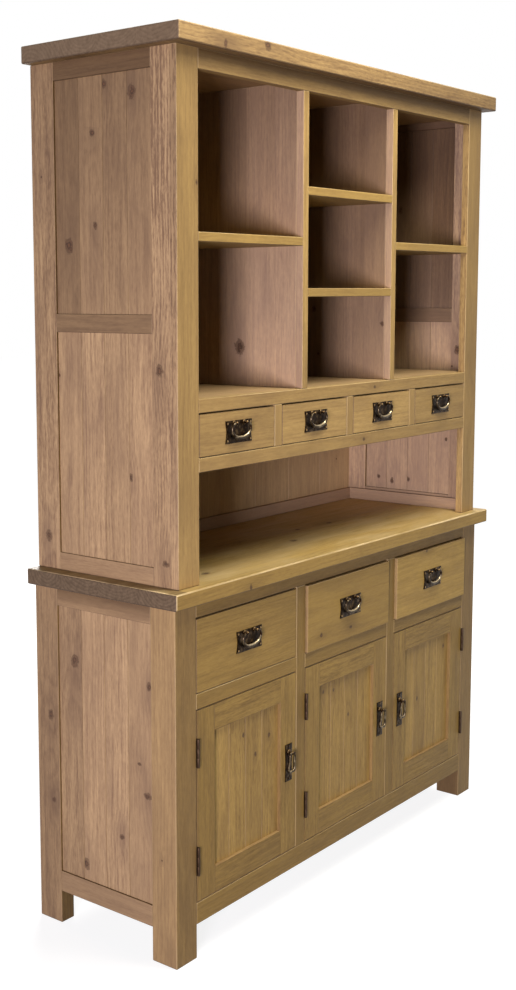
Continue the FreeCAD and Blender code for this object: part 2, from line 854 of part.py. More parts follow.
nodes = {
    "cornice_board": cornice_board(),
    "hutch_side_frames": hutch_side_frames(),
    "hutch_side_boards": hutch_side_boards(),
    "hutch_front_frame": hutch_front_frame(),
    "hutch_dividers": hutch_dividers(),
    "hutch_shelves": hutch_shelves(),
    "hutch_cross_boards": hutch_cross_boards(),
    "hutch_drawer_guides": hutch_drawer_guides(),
    "hutch_back_boards": hutch_back_boards(),
    "niche_battens": niche_battens(),
    "hutch_fixing_screws": hutch_fixing_screws(),
    "worktop": worktop(),
    "base_front_legs": base_front_legs(),
    "base_back_legs": base_back_legs(),
    "base_side_rails": base_side_rails(),
    "base_side_boards": base_side_boards(),
    "base_front_frame": base_front_frame(),
    "base_partitions": base_partitions(),
    "base_drawer_boards": base_drawer_boards(),
    "base_floor": base_floor(),
    "base_shelves": base_shelves(),
    "base_inner_battens": base_inner_battens(),
    "base_back_boards": base_back_boards(),
    "frame_hinge_leaves": frame_hinge_leaves(),
}

small_drawer_z = (z_small_drawer, z_deck_rail)
base_drawer_z = (z_base_drawer, z_base_top_rail)
drawers = [("small_drawer", i, bay, small_drawer_z, 0.0) for i, bay in enumerate(small_bays)]
for i, bay in enumerate(base_bays):
    drawers.append(("base_drawer", i, bay, base_drawer_z, base_drawer_ajar[i]))
for kind, index, bay, z, ajar in drawers:
    nodes[f"{kind}_{index + 1}"] = drawer(bay, z, ajar)
    nodes[f"{kind}_plate_{index + 1}"] = drawer_plate(bay, z, ajar)
    nodes[f"{kind}_bail_{index + 1}"] = bail(bay, z, ajar)

for index in range(base_bay_count):
    nodes[f"door_frame_{index + 1}"] = door_frame(index)
    nodes[f"door_panel_{index + 1}"] = door_panel(index)
    nodes[f"door_pull_plate_{index + 1}"] = door_pull_plate(index)
    nodes[f"door_drop_{index + 1}"] = door_drop(index)
    nodes[f"door_hinge_leaves_{index + 1}"] = door_hinge_leaves(index)

os.makedirs("parts", exist_ok=True)
for name, solids in nodes.items():
    shape = solids[0] if len(solids) == 1 else Part.makeCompound(solids)
    shape.exportStep(f"parts/{name}.step")
    print(name, len(shape.Solids), "solids", round(shape.Volume / 1000), "cm3", shape.isValid())
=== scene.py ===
# %% [markdown]
# # Rustic pine sideboard with a hutch
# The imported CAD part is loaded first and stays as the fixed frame. Every board and fitting that
# shows is then modelled again in its place, with eased edges and its own grain, and stands for
# the plain CAD node. All lengths below are in millimetres and are turned to metres by MM.

import math
import random

import bpy
import numpy as np
from mathutils import Matrix, Vector


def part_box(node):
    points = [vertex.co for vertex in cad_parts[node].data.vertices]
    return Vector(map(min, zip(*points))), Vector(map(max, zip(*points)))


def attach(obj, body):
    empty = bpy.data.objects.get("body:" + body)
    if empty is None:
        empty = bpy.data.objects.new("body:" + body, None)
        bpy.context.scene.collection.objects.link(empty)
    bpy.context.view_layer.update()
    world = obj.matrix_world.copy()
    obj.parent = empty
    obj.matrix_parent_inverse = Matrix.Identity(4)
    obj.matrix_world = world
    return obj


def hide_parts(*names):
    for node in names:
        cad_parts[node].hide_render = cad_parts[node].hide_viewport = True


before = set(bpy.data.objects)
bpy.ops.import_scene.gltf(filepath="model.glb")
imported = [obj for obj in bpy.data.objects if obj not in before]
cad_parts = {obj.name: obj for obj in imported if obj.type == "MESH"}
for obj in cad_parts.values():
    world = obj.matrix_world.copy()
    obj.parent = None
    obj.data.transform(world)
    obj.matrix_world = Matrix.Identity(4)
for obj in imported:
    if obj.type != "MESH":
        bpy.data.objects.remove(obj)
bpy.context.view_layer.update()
MM = 0.001

# %% [markdown]
# ## Small helpers for materials
# Colours are written as the sRGB hex values that the eye reads from the object, so one function
# turns them to the linear values that a shader wants. Another adds a node, sets its values and
# links whatever node or socket it is given.


# %% Colour and node helpers
def linear(hex_colour):
    """Linear RGBA of an sRGB hex colour."""
    channels = [int(hex_colour[i : i + 2], 16) / 255 for i in (1, 3, 5)]
    curve = [c / 12.92 if c <= 0.04045 else ((c + 0.055) / 1.055) ** 2.4 for c in channels]
    return curve + [1.0]


def node(tree, kind, inputs=(), **settings):
    """Adds a shader node. Inputs are values, or nodes and sockets to link, by place or by name."""
    made = tree.nodes.new("ShaderNode" + kind)
    for key, value in settings.items():
        setattr(made, key, value)
    for key, value in inputs.items() if isinstance(inputs, dict) else enumerate(inputs):
        if isinstance(value, bpy.types.Node):
            value = value.outputs[0]
        if isinstance(value, bpy.types.NodeSocket):
            tree.links.new(value, made.inputs[key])
        else:
            made.inputs[key].default_value = value
    return made


def new_material(name):
    """Empty node material and its tree."""
    material = bpy.data.materials.new(name)
    material.use_nodes = True
    material.node_tree.nodes.clear()
    return material, material.node_tree


print("linear of mid grey", [round(c, 3) for c in linear("#808080")])

# %% [markdown]
# ## Waxed pine
# Pine shows pale early wood and darker late wood in rings round the heart of the trunk. A board is
# cut out of those rings, so its face shows long arches, its edge shows lines and its end shows
# arcs. A flat pattern on each face could not meet at the edges. So all of it comes from one
# pattern in space, and each board carries its own place in the trunk in an attribute named grain,
# with x along the fibres. The first layer is a set of noises, all drawn out along the fibres.

# %% Noises along the fibres
# Length, width and curl of each noise. Real fibres are finer than a pixel, so they are drawn as
# coarse as they need to be to show.
NOISES = {
    "wander": (550, 120, 0.0),
    "wobble": (150, 20, 0.0),
    "fibre": (50, 2.6, 0.4),
    "speck": (16, 4, 0.0),
    "streak": (420, 14, 1.2),
    "patch": (260, 70, 0.8),
    "rag": (9, 9, 0.0),
}


def fibre_noises(tree, grain):
    """Noise nodes by name."""
    made = {}
    for key, (length, width, curl) in NOISES.items():
        scale = (1 / (length * MM), 1 / (width * MM), 1 / (width * MM))
        space = node(tree, "Mapping", {"Vector": grain, "Scale": scale})
        cloud = {"Vector": space, "Scale": 1.0, "Detail": 3.0, "Roughness": 0.6, "Distortion": curl}
        made[key] = node(tree, "TexNoise", cloud)
    return made


print("noises", ", ".join(NOISES))

# %% [markdown]
# Knots are branches that pass through the boards and push the rings aside. They could be modelled,
# but a planed knot is flat, so they are drawn. Small ones fall by chance on the faces, which an
# attribute named flat unrolls. Large ones are listed for a board, in attributes named branch_0 and
# so on. Every point then measures its way to the nearest knot in that knot's radius.

# %% Knots
KNOT_CELL = 130 * MM
KNOT_SHARE = 0.05
SMALL_KNOT = (2 * MM, 6 * MM)
# Most knots that one board can be given
BRANCHES = 3
# A given knot is an oval, because the branch was cut at a slant: the first one lies along the
# board, the others across it. The cloud round any knot is drawn out along the fibres.
ROUND, FIRST_OVAL, OTHER_OVAL = (1.0, 1.0, 0.0), (0.8, 1.1, 0.0), (1.2, 0.8, 0.0)
CLOUD_OVAL = (0.35, 1.0, 0.0)
# How many radii away a knot is that isn't there
FAR = 99.0


def chance_knot(tree, flat):
    """Way to the nearest small knot, its radius, whether it is absent, and its oval.

    Each cell of the face has one possible branch, which is present in a few of them.
    """
    cell_scale = (1 / KNOT_CELL, 1 / KNOT_CELL, 0.0)
    space = node(tree, "Mapping", {"Vector": flat, "Scale": cell_scale})
    cells = node(tree, "TexVoronoi", {"Vector": space, "Scale": 1.0}, voronoi_dimensions="2D")
    chance = node(tree, "SeparateColor", [cells.outputs["Color"]])
    absent = node(tree, "Math", [chance, 1 - KNOT_SHARE], operation="LESS_THAN")
    radius = node(tree, "MapRange", [chance.outputs[1], 0.0, 1.0, *SMALL_KNOT])
    way = node(tree, "VectorMath", [space, cells.outputs["Position"]], operation="SUBTRACT")
    way = node(tree, "Mapping", {"Vector": way, "Scale": (KNOT_CELL, KNOT_CELL, 0.0)})
    return way, radius, absent, ROUND


def nearest_knot(tree, flat):
    """Distance to the nearest knot in its radii, and the same with the oval of the clouds."""
    knots = [chance_knot(tree, flat)]
    for number in range(BRANCHES):
        branch = node(tree, "Attribute", attribute_name=f"branch_{number}").outputs["Vector"]
        radius = node(tree, "SeparateXYZ", [branch]).outputs["Z"]
        way = node(tree, "VectorMath", [flat, branch], operation="SUBTRACT")
        knots.append((way, radius, 0.0, OTHER_OVAL if number else FIRST_OVAL))
    nearest = [FAR, FAR]
    for way, radius, absent, oval in knots:
        for place, squeeze in enumerate((oval, CLOUD_OVAL)):
            length = node(tree, "VectorMath", [way, squeeze], operation="MULTIPLY")
            length = node(tree, "VectorMath", [length], operation="LENGTH").outputs["Value"]
            length = node(tree, "Math", [length, radius], operation="DIVIDE")
            length = node(tree, "Math", [absent, FAR, length], operation="MULTIPLY_ADD")
            nearest[place] = node(tree, "Math", [length, nearest[place]], operation="MINIMUM")
    return nearest


def knot_layers(tree, flat, rag):
    """How far the knots push the rings aside, and their core, their rim and their own rings."""
    reach, spread = nearest_knot(tree, flat)
    reach = node(tree, "Math", [rag, 1.8, reach], operation="MULTIPLY_ADD")
    reach = node(tree, "Math", [reach, 0.9], operation="SUBTRACT")
    fall = node(tree, "Math", [spread, spread], operation="MULTIPLY")
    fall = node(tree, "Math", [fall, -0.1], operation="MULTIPLY")
    swirl = node(tree, "Math", [fall], operation="EXPONENT")
    core = [reach, 1.25, 0.45, 0.0, 0.85]
    core = node(tree, "MapRange", core, interpolation_type="SMOOTHSTEP")
    off_rim = node(tree, "Math", [reach, 1.0], operation="SUBTRACT")
    off_rim = node(tree, "Math", [off_rim], operation="ABSOLUTE")
    rim = node(tree, "MapRange", [off_rim, 0.35, 0.0, 0.0, 0.5])
    rings = node(tree, "Math", [reach, 2.2], operation="MULTIPLY")
    rings = node(tree, "Math", [rings, 1.0], operation="PINGPONG")
    return {"swirl": swirl, "core": core, "rim": rim, "rings": rings}


print("small knots in", KNOT_SHARE, "of the cells, and up to", BRANCHES, "given to a board")

# %% [markdown]
# A ring is the distance to the heart, bent by slow noise and pushed aside by the knots. Within one
# year the wood goes slowly from pale to dark and then quickly back. Blender's wave texture could
# draw rings, but it can't be pushed aside by a knot, so the distance is worked out here.

# %% Year rings
# Real pine has rings of 2 to 4 mm. They are drawn coarser, or they would not show from where one
# sees the whole cupboard.
RING_WIDTH = 8 * MM


def year_rings(tree, grain, noise, swirl):
    """Late wood, from 0 to 1."""
    across = node(tree, "Mapping", {"Vector": grain, "Scale": (0.0, 1.0, 1.0)})
    bent = node(tree, "VectorMath", [across], operation="LENGTH").outputs["Value"]
    for push, most in ((noise["wander"], 30), (noise["wobble"], 9), (swirl, 14)):
        bent = node(tree, "Math", [push, most * MM, bent], operation="MULTIPLY_ADD")
    turns = node(tree, "Math", [bent, RING_WIDTH], operation="DIVIDE")
    season = node(tree, "Math", [turns], operation="FRACT")
    rise = node(tree, "MapRange", [season, 0.2, 0.9, 0.0, 1.0], interpolation_type="SMOOTHSTEP")
    drop = node(tree, "MapRange", [season, 1.0, 0.88, 0.0, 1.0])
    return node(tree, "Math", [rise, drop], operation="MULTIPLY")


print("rings of", RING_WIDTH / MM, "mm")

# %% [markdown]
# The colour is laid on in coats, as on the real board. First comes the wood: rings and streaks as
# strong as the board's figure and broad clouds. Painted tints by the direction of each face follow,
# pale on inner faces and yellow on fronts and tops, for the colour of the light there, and a
# darkening that is partly each board's own tone and partly painted shade. Then comes what saw and
# use left: rubbed edges, partly painted highlights, knots, dark end grain, and dark edges that are
# partly grime and partly painted shade. One loop mixes each set of coats, so a coat is one line.


# %% Coats of colour
def waxed_colour(tree, colour, noise, ring, swirl):
    """Colour of the wood under its wax, with its painted tints and painted shade."""
    dark = node(tree, "Attribute", attribute_name="dark").outputs["Fac"]
    figure = node(tree, "Attribute", attribute_name="figure").outputs["Fac"]
    fresh = node(tree, "Attribute", attribute_name="fresh").outputs["Fac"]
    broken = node(tree, "Math", [ring, noise["fibre"]], operation="MULTIPLY")
    contrast = node(tree, "Math", [broken, 0.6, -2.06], operation="MULTIPLY_ADD")
    for key, strength in (("speck", 1.4), ("streak", 1.6), ("fibre", 0.9)):
        contrast = node(tree, "Math", [noise[key], strength, contrast], operation="MULTIPLY_ADD")
    depth = node(tree, "Math", [contrast, figure, 0.42], operation="MULTIPLY_ADD", use_clamp=True)
    mist = node(tree, "MapRange", [noise["patch"], 0.45, 0.75, 0.0, 0.5])
    mist = node(tree, "Math", [swirl, 0.4, mist], operation="MULTIPLY_ADD", use_clamp=True)
    pale = node(tree, "Math", [fresh, -0.15], operation="MULTIPLY", use_clamp=True)
    # The darkening coat is partly each board's own tone and partly painted shade.
    coats = (
        (depth, "late", "MIX"),
        (mist, "cloud", "MIX"),
        (pale, "bloom", "MIX"),
        (dark, "wax", "MULTIPLY"),
        (fresh, "honey", "MULTIPLY"),
    )
    wood = colour["early"]
    for share, key, way in coats:
        coat = {0: share, 6: wood, 7: colour[key]}
        wood = node(tree, "Mix", coat, data_type="RGBA", blend_type=way).outputs[2]
    return wood


def worn_colour(tree, colour, wood, noise, ring, knot):
    """Colour with knots, end grain, pale and dark edges, partly painted highlight and shade."""
    end_grain = node(tree, "Attribute", attribute_name="end_grain").outputs["Fac"]
    edge = node(tree, "Attribute", attribute_name="edge").outputs["Fac"]
    branch = {0: knot["rings"], 6: colour["knot"], 7: colour["knot_dark"]}
    branch = node(tree, "Mix", branch, data_type="RGBA").outputs[2]
    pores = node(tree, "Math", [ring, 0.2, -1.17], operation="MULTIPLY_ADD")
    pores = node(tree, "Math", [pores, end_grain], operation="ADD")
    pores = node(tree, "Math", [pores, noise["rag"]], operation="ADD", use_clamp=True)
    sawn = {0: pores, 6: colour["end_pale"], 7: colour["end_dark"]}
    sawn = node(tree, "Mix", sawn, data_type="RGBA").outputs[2]
    rubbed_and_highlight = node(tree, "MapRange", [noise["patch"], 0.35, 0.65, 0.15, 0.7])
    rubbed_and_highlight = node(tree, "Math", [rubbed_and_highlight, edge], operation="MULTIPLY", use_clamp=True)
    edge_shade_and_grime = node(tree, "Math", [edge, -1.0], operation="MULTIPLY", use_clamp=True)
    coats = (
        (rubbed_and_highlight, colour["worn"]),
        (knot["core"], branch),
        (knot["rim"], colour["knot_dark"]),
        (end_grain, sawn),
        (edge_shade_and_grime, colour["knot_dark"]),
    )
    for share, coat in coats:
        wood = node(tree, "Mix", {0: share, 6: wood, 7: coat}, data_type="RGBA").outputs[2]
    return wood


print("coats for the wood and for its wear can be laid")

# %% [markdown]
# With its layers ready, a pine is a list of colours and a roughness. Wax lies thinner on the late
# wood, so the gloss follows the fibres, and the fibres stand up a little as a bump.


# %% Pine materials
def pine(name, roughness, **hex_colours):
    """Waxed or plain pine: rings, streaks, knots, dark end grain, rubbed edges, painted tints and
    shade.
    """
    material, tree = new_material(name)
    colour = {key: linear(value) for key, value in hex_colours.items()}
    grain = node(tree, "Attribute", attribute_name="grain").outputs["Vector"]
    flat = node(tree, "Attribute", attribute_name="flat").outputs["Vector"]
    noise = fibre_noises(tree, grain)
    knot = knot_layers(tree, flat, noise["rag"])
    ring = year_rings(tree, grain, noise, knot["swirl"])
    wood = waxed_colour(tree, colour, noise, ring, knot["swirl"])
    wood = worn_colour(tree, colour, wood, noise, ring, knot)
    gloss = node(tree, "MapRange", [noise["fibre"], 0.3, 0.7, roughness - 0.06, roughness + 0.08])
    height = node(tree, "Math", [ring, 0.5, noise["fibre"]], operation="MULTIPLY_ADD")
    height = node(tree, "Math", [knot["rim"], -1.5, height], operation="MULTIPLY_ADD")
    bump = node(tree, "Bump", {"Height": height, "Strength": 0.35, "Distance": 0.4 * MM})
    surface = {"Base Color": wood, "Roughness": gloss, "Normal": bump, "Specular IOR Level": 0.2}
    surface = node(tree, "BsdfPrincipled", surface)
    node(tree, "OutputMaterial", [surface])
    return material


# Waxed pine reads as honey brown with soft streaks, plain pine as paler, drier and pinkish.
waxed_pine = pine(
    "waxed_pine",
    roughness=0.5,
    early="#C8A677",
    late="#8C6E50",
    wax="#8A817A",
    honey="#FFFDBE",
    bloom="#E6C8B4",
    cloud="#866A50",
    knot="#684730",
    knot_dark="#33221A",
    end_pale="#846F54",
    end_dark="#53422F",
    worn="#E6CC98",
)
plain_pine = pine(
    "plain_pine",
    roughness=0.6,
    early="#E2C29A",
    late="#AA8C6C",
    wax="#A2978E",
    honey="#FFFEE4",
    bloom="#E6C8B4",
    cloud="#A0846A",
    knot="#74523A",
    knot_dark="#452F1E",
    end_pale="#A98D70",
    end_dark="#6B5540",
    worn="#CFB58A",
)
print("pine materials", waxed_pine.name, plain_pine.name)

# %% [markdown]
# ## Metal of the fittings
# The plates and bails are cast bronze with a dark patina. Hands rub the patina off the high places,
# so noise and an attribute let a warmer metal through. The attribute is written from each fitting's
# form, because noise alone would not know where hands pull, and it also holds painted highlights on
# upper sides and on the left of bails and rings. The hinges are dark iron.


# %% Metal materials
def patina(name, dark, bright, roughness, dents):
    """Dark metal with dents, brighter in blotches and where its attribute of rubbed places and
    painted highlights says so.
    """
    material, tree = new_material(name)
    place = node(tree, "TexCoord").outputs["Object"]
    rub = node(tree, "Attribute", attribute_name="rub").outputs["Fac"]
    blotch = node(tree, "TexNoise", {"Vector": place, "Scale": 1 / (9 * MM), "Detail": 3.0})
    grit = node(tree, "TexNoise", {"Vector": place, "Scale": 1 / (1.5 * MM), "Detail": 2.0})
    hammer = {"Vector": place, "Scale": 1 / (dents * MM)}
    hammer = node(tree, "TexVoronoi", hammer, feature="SMOOTH_F1")
    rubbed_and_highlight = node(tree, "MapRange", [blotch, 0.5, 0.8, 0.0, 0.3])
    rubbed_and_highlight = node(tree, "Math", [rubbed_and_highlight, rub], operation="ADD", use_clamp=True)
    colour = {0: rubbed_and_highlight, 6: linear(dark), 7: linear(bright)}
    colour = node(tree, "Mix", colour, data_type="RGBA").outputs[2]
    gloss = node(tree, "MapRange", [grit, 0.3, 0.7, roughness - 0.1, roughness + 0.12])
    height = node(tree, "Math", [grit, 0.25, hammer], operation="MULTIPLY_ADD")
    bump = node(tree, "Bump", {"Height": height, "Strength": 0.4, "Distance": 0.4 * MM})
    surface = {"Base Color": colour, "Roughness": gloss, "Normal": bump, "Metallic": 1.0}
    surface = node(tree, "BsdfPrincipled", surface)
    node(tree, "OutputMaterial", [surface])
    return material


# Aged bronze is nearly black with a brown glint, rubbed bronze shows pale metal where hands pull and
# where highlights are painted, dark iron is dull, and screw steel is plain grey.
aged_bronze = patina("aged_bronze", "#201204", "#A0835C", 0.45, dents=7)
rubbed_bronze = patina("rubbed_bronze", "#24160A", "#E4CDA4", 0.32, dents=9)
dark_iron = patina("dark_iron", "#3F3024", "#6E5A44", 0.5, dents=5)
screw_steel = patina("screw_steel", "#77736C", "#A5A19A", 0.35, dents=4)
print("metals", aged_bronze.name, rubbed_bronze.name, dark_iron.name, screw_steel.name)

# %% [markdown]
# ## Making timber
# A cupboard is a set of boards, so the script first says what a board is: its place, the way its
# grain runs, how dark and how streaky it is, and its knots. The two sides of the cupboard are
# mirror images, so a pair of places in X is worked out from its side.

# %% What a board is
AXES = {"X": 0, "Y": 1, "Z": 2}
SIDES = (-1, 1)


def pair(side, inner, outer):
    """Low and high X on the left (-1) or right (1) side."""
    return tuple(sorted((side * inner, side * outer)))


def board(x, y, z, along, shade=0.2, strength=0.4, knots=(), trunk=None, fade=None):
    """A board from three pairs, with its grain direction, darkness, figure and knots.

    A pair for the darkness runs from the low end to the high end, or along the axis that fade
    names. Three values for the strength of the figure are that on the front, and on the other
    faces at the low and the high end. A knot is the axis that its face looks along, its places
    along and across the board, and its radius. Boards cut from the same trunk, which is a board
    itself, share its grain.
    """
    made = {"low": (x[0], y[0], z[0]), "high": (x[1], y[1], z[1]), "along": along, "fade": fade}
    return made | {"shade": shade, "strength": strength, "knots": knots, "trunk": trunk}


print("a board holds", ", ".join(board((0, 1), (0, 1), (0, 1), "X")))

# %% [markdown]
# Each board could be an object, but a CAD node with all its boards is one piece that moves
# together. So the boards are cubes that edit mode adds to one mesh, and one bevel eases all their
# edges, as sandpaper does. An attribute keeps the number of the board on every face, also on the
# new faces of the bevel.

# %% Cubes with eased edges
EASE_SEGMENTS = 2


def start_cube(low, high):
    """Adds a cube between two corners, in millimetres."""
    centre = [(a + b) / 2 * MM for a, b in zip(low, high)]
    size = [(b - a) * MM for a, b in zip(low, high)]
    bpy.ops.mesh.primitive_cube_add(size=1, location=centre, scale=size)


def apply_all():
    """Puts place, turn and size of the new object into its mesh."""
    bpy.ops.object.transform_apply(location=True, rotation=True, scale=True)


def ease_edges(piece, width, segments=EASE_SEGMENTS):
    """Rounds every sharp edge of the piece with an applied bevel."""
    bpy.ops.object.modifier_add(type="BEVEL")
    bevel = piece.modifiers[-1]
    bevel.width = width * MM
    bevel.segments = segments
    bevel.limit_method = "ANGLE"
    bpy.ops.object.modifier_apply(modifier=bevel.name)


def start_boards(name, boards):
    """One mesh of cubes, with the number of its board on each face."""
    bpy.ops.object.select_all(action="DESELECT")
    start_cube(boards[0]["low"], boards[0]["high"])
    apply_all()
    piece = bpy.context.object
    piece.name = name
    bpy.ops.object.mode_set(mode="EDIT")
    for item in boards[1:]:
        start_cube(item["low"], item["high"])
    bpy.ops.object.mode_set(mode="OBJECT")
    faces = len(piece.data.polygons) // len(boards)
    numbers = [i // faces for i in range(len(piece.data.polygons))]
    piece.data.attributes.new("board", "INT", "FACE").data.foreach_set("value", numbers)
    return piece


print("edges are eased in", EASE_SEGMENTS, "steps")

# %% [markdown]
# The grain depends on how each board was cut from its trunk. Chance decides how far along the
# trunk it lay, how far from the heart, and whether it is a little darker or streakier than its
# neighbours. The seed is the piece's name, so every run gives the same boards. All of it goes into
# one table per piece, with a row for each board.

# %% How a board was cut
# Chance of each board: distance from the heart, place along a trunk in metres, step to the side,
# and how much darkness and figure differ
HEART_AWAY = (12, 85)
TRUNK_METRES = 40
SIDE_STEP = 35
UNEVEN = 0.1
FIGURE_SPREAD = (0.75, 1.25)
NO_KNOT = ("X", -9000, -9000, 1)


def several(value, count):
    """The value, if it is a tuple already, or a tuple of equal values."""
    return value if isinstance(value, tuple) else (value,) * count


def board_table(name, boards):
    """Arrays with a row per board: how it was cut, its darkness, its figure and its knots."""
    rows = []
    for index, item in enumerate(boards):
        whole = item["trunk"] or item
        dice = random.Random(str(whole["low"]) if item["trunk"] else f"{name} {index}")
        first = AXES[whole["along"]]
        size = [b - a for a, b in zip(whole["low"], whole["high"])]
        rest = sorted({0, 1, 2} - {first}, key=lambda axis: -size[axis])
        fade = AXES[item["fade"] or whole["along"]]
        heart = dice.choice((-1, 1)) * dice.uniform(*HEART_AWAY) * MM
        metres = dice.uniform(0, TRUNK_METRES)
        step = dice.uniform(-SIDE_STEP, SIDE_STEP) * MM
        darker = dice.uniform(-UNEVEN, UNEVEN)
        stronger = dice.uniform(*FIGURE_SPREAD)
        given = (list(item["knots"]) + [NO_KNOT] * BRANCHES)[:BRANCHES]
        row = {
            "order": [first] + rest,
            "centre": [(a + b) / 2 * MM for a, b in zip(whole["low"], whole["high"])],
            "offset": [metres, step, heart],
            "dark": np.array(several(item["shade"], 2)) + darker,
            "figure": np.array(several(item["strength"], 3)) * stronger,
            "fade": [fade],
            "length": size[fade] * MM,
            "knot": [[AXES[axis], u * MM, v * MM, radius * MM] for axis, u, v, radius in given],
        }
        rows.append(row)
    return {key: np.array([row[key] for row in rows]) for key in rows[0]}


sample = board_table("sample", [board((0, 900), (0, 20), (0, 90), "X")])
print("a sample board's heart is", round(sample["offset"][0, 2] / MM), "mm away")

# %% [markdown]
# Grain and finish are written to the mesh as attributes, which the pine material reads. UV maps
# could hold the grain, but they are flat, and the pattern is in space. Two tables come first: for
# every face where it looks, and for every corner where it is on its board.

# %% Faces and corners of a mesh
# Sides beyond this X look out to the room
OUTSIDE = 600


def read(items, key, width=1):
    """Values of all faces, corners or points: whole numbers, or rows of so many decimals."""
    values = np.empty(len(items) * width, float if width > 1 else int)
    items.foreach_get(key, values)
    return values.reshape(-1, width) if width > 1 else values


def write(mesh, domain, key, values):
    """New attribute with a number, or a row of three, for each face or corner."""
    kind, field = ("FLOAT", "value") if values.ndim == 1 else ("FLOAT_VECTOR", "vector")
    mesh.attributes.new(key, kind, domain).data.foreach_set(field, values.ravel())


def face_table(mesh, table, board_of_face):
    """Arrays with a row per face: its board, where it looks, its axes along and across."""
    normal = read(mesh.polygons, "normal", 3)
    middle_x = read(mesh.polygons, "center", 3)[:, 0]
    looks = np.abs(normal).argmax(axis=1)
    first = table["order"][board_of_face, 0]
    return {
        "board": board_of_face,
        "normal": normal,
        "looks": looks,
        "first": first,
        "over": np.where(looks == first, (first + 1) % 3, 3 - looks - first),
        "outward": normal[:, 0] * middle_x > OUTSIDE * MM,
        "beyond": np.abs(middle_x) > OUTSIDE * MM,
    }


def corner_table(mesh, table, board_of_face):
    """Arrays with a row per corner: its face, its board, its place from the board's middle."""
    face = np.repeat(np.arange(len(mesh.polygons)), read(mesh.polygons, "loop_total"))
    corner_board = board_of_face[face]
    place = read(mesh.vertices, "co", 3)[read(mesh.loops, "vertex_index")]
    return {"face": face, "board": corner_board, "local": place - table["centre"][corner_board]}


print("outer sides lie beyond", OUTSIDE, "mm")

# %% [markdown]
# The place in the trunk turns with the board, so that x always follows the fibres. The flat place
# lays the faces of a board side by side, a few metres apart, and the given knots are measured in
# it too.

# %% Writing the grain
FACE_STEP = 3.0
NOWHERE = -9.0


def write_grain(mesh, table, faces, corners):
    """Writes the place in the trunk, the place on the face and the given knots."""
    local, face = corners["local"], corners["face"]
    looks, over = faces["looks"], faces["over"]
    turned = np.take_along_axis(local, table["order"][corners["board"]], axis=1)
    trunk = turned + table["offset"][corners["board"]]
    across = np.take_along_axis(local, over[face][:, None], axis=1)[:, 0]
    spot = looks[face] * FACE_STEP + across
    write(mesh, "CORNER", "grain", trunk)
    write(mesh, "CORNER", "flat", np.stack([trunk[:, 0], spot, np.zeros(len(spot))], axis=1))
    rows = np.arange(len(looks))
    centre = table["centre"][faces["board"]]
    start = table["offset"][faces["board"], 0]
    for number in range(BRANCHES):
        given = table["knot"][faces["board"], number]
        along = given[:, 1] - centre[rows, faces["first"]] + start
        beside = given[:, 2] - centre[rows, over] + looks * FACE_STEP
        beside[given[:, 0] != looks] = NOWHERE
        branch = np.stack([along, beside, given[:, 3]], axis=1)
        write(mesh, "FACE", f"branch_{number}", branch)


print("faces lie", FACE_STEP, "m apart in the flat pattern")

# %% [markdown]
# The finish differs from face to face. In the photograph, fronts are yellower than sides, ledges and
# undersides are darker, and edges are paler or dirtier. A picture doesn't tell how much of that is
# wax and grime and how much is light. What the lamps here don't give is written on the wood by the
# direction of each face, so it stays the same from every view and under any light. The back is a
# guess.

# %% Writing the finish
# Extra darkness of faces that look down, a painted shade under things, and of ledges that lie
# outside, and the darkness of all faces that look to the back
UNDERSIDE, LEDGE, REAR = 0.4, 0.6, 0.2
# Faces at least this square to an axis count as flat, or else as part of an eased edge
SQUARE, FLAT = 0.9, 0.97
# Eased edges tilted down by more than TILT get painted shade, and upright ones are made less pale
# than those tilted up, whose pale is partly rubbing and partly a painted highlight
TILT, LOW_EDGE, UPRIGHT_EDGE = 0.3, -0.5, 0.7
# End grain starts on faces turned this far to the fibres' ends, and is full so much further on
END_START, END_RANGE = 0.6, 0.3
# Usual painted tints of outer sides, inner sides, fronts and tops, for the colour of the light there
FACE_TINTS = (0.0, -1.0, 0.9, 0.8)
# Wear is how pale the edges are, partly rubbed and partly a painted highlight, or below zero how
# dark, with grime, dark joints and painted shade in the gaps; top is the same for the upper faces.
# Ends is how strongly end grain shows. Front darkens the faces that look there, and side those that
# look to a side, outer and inner ones, both as painted shade. The tint is how yellow outer sides,
# inner sides, fronts and tops are painted, for the colour of the light on them; below zero they are
# painted pale instead.
FINISH = {"wear": 0.4, "top": 0.0, "ends": 0.5, "front": 0.0, "side": (0.0, 0.0)}
FINISH["fresh"] = FACE_TINTS


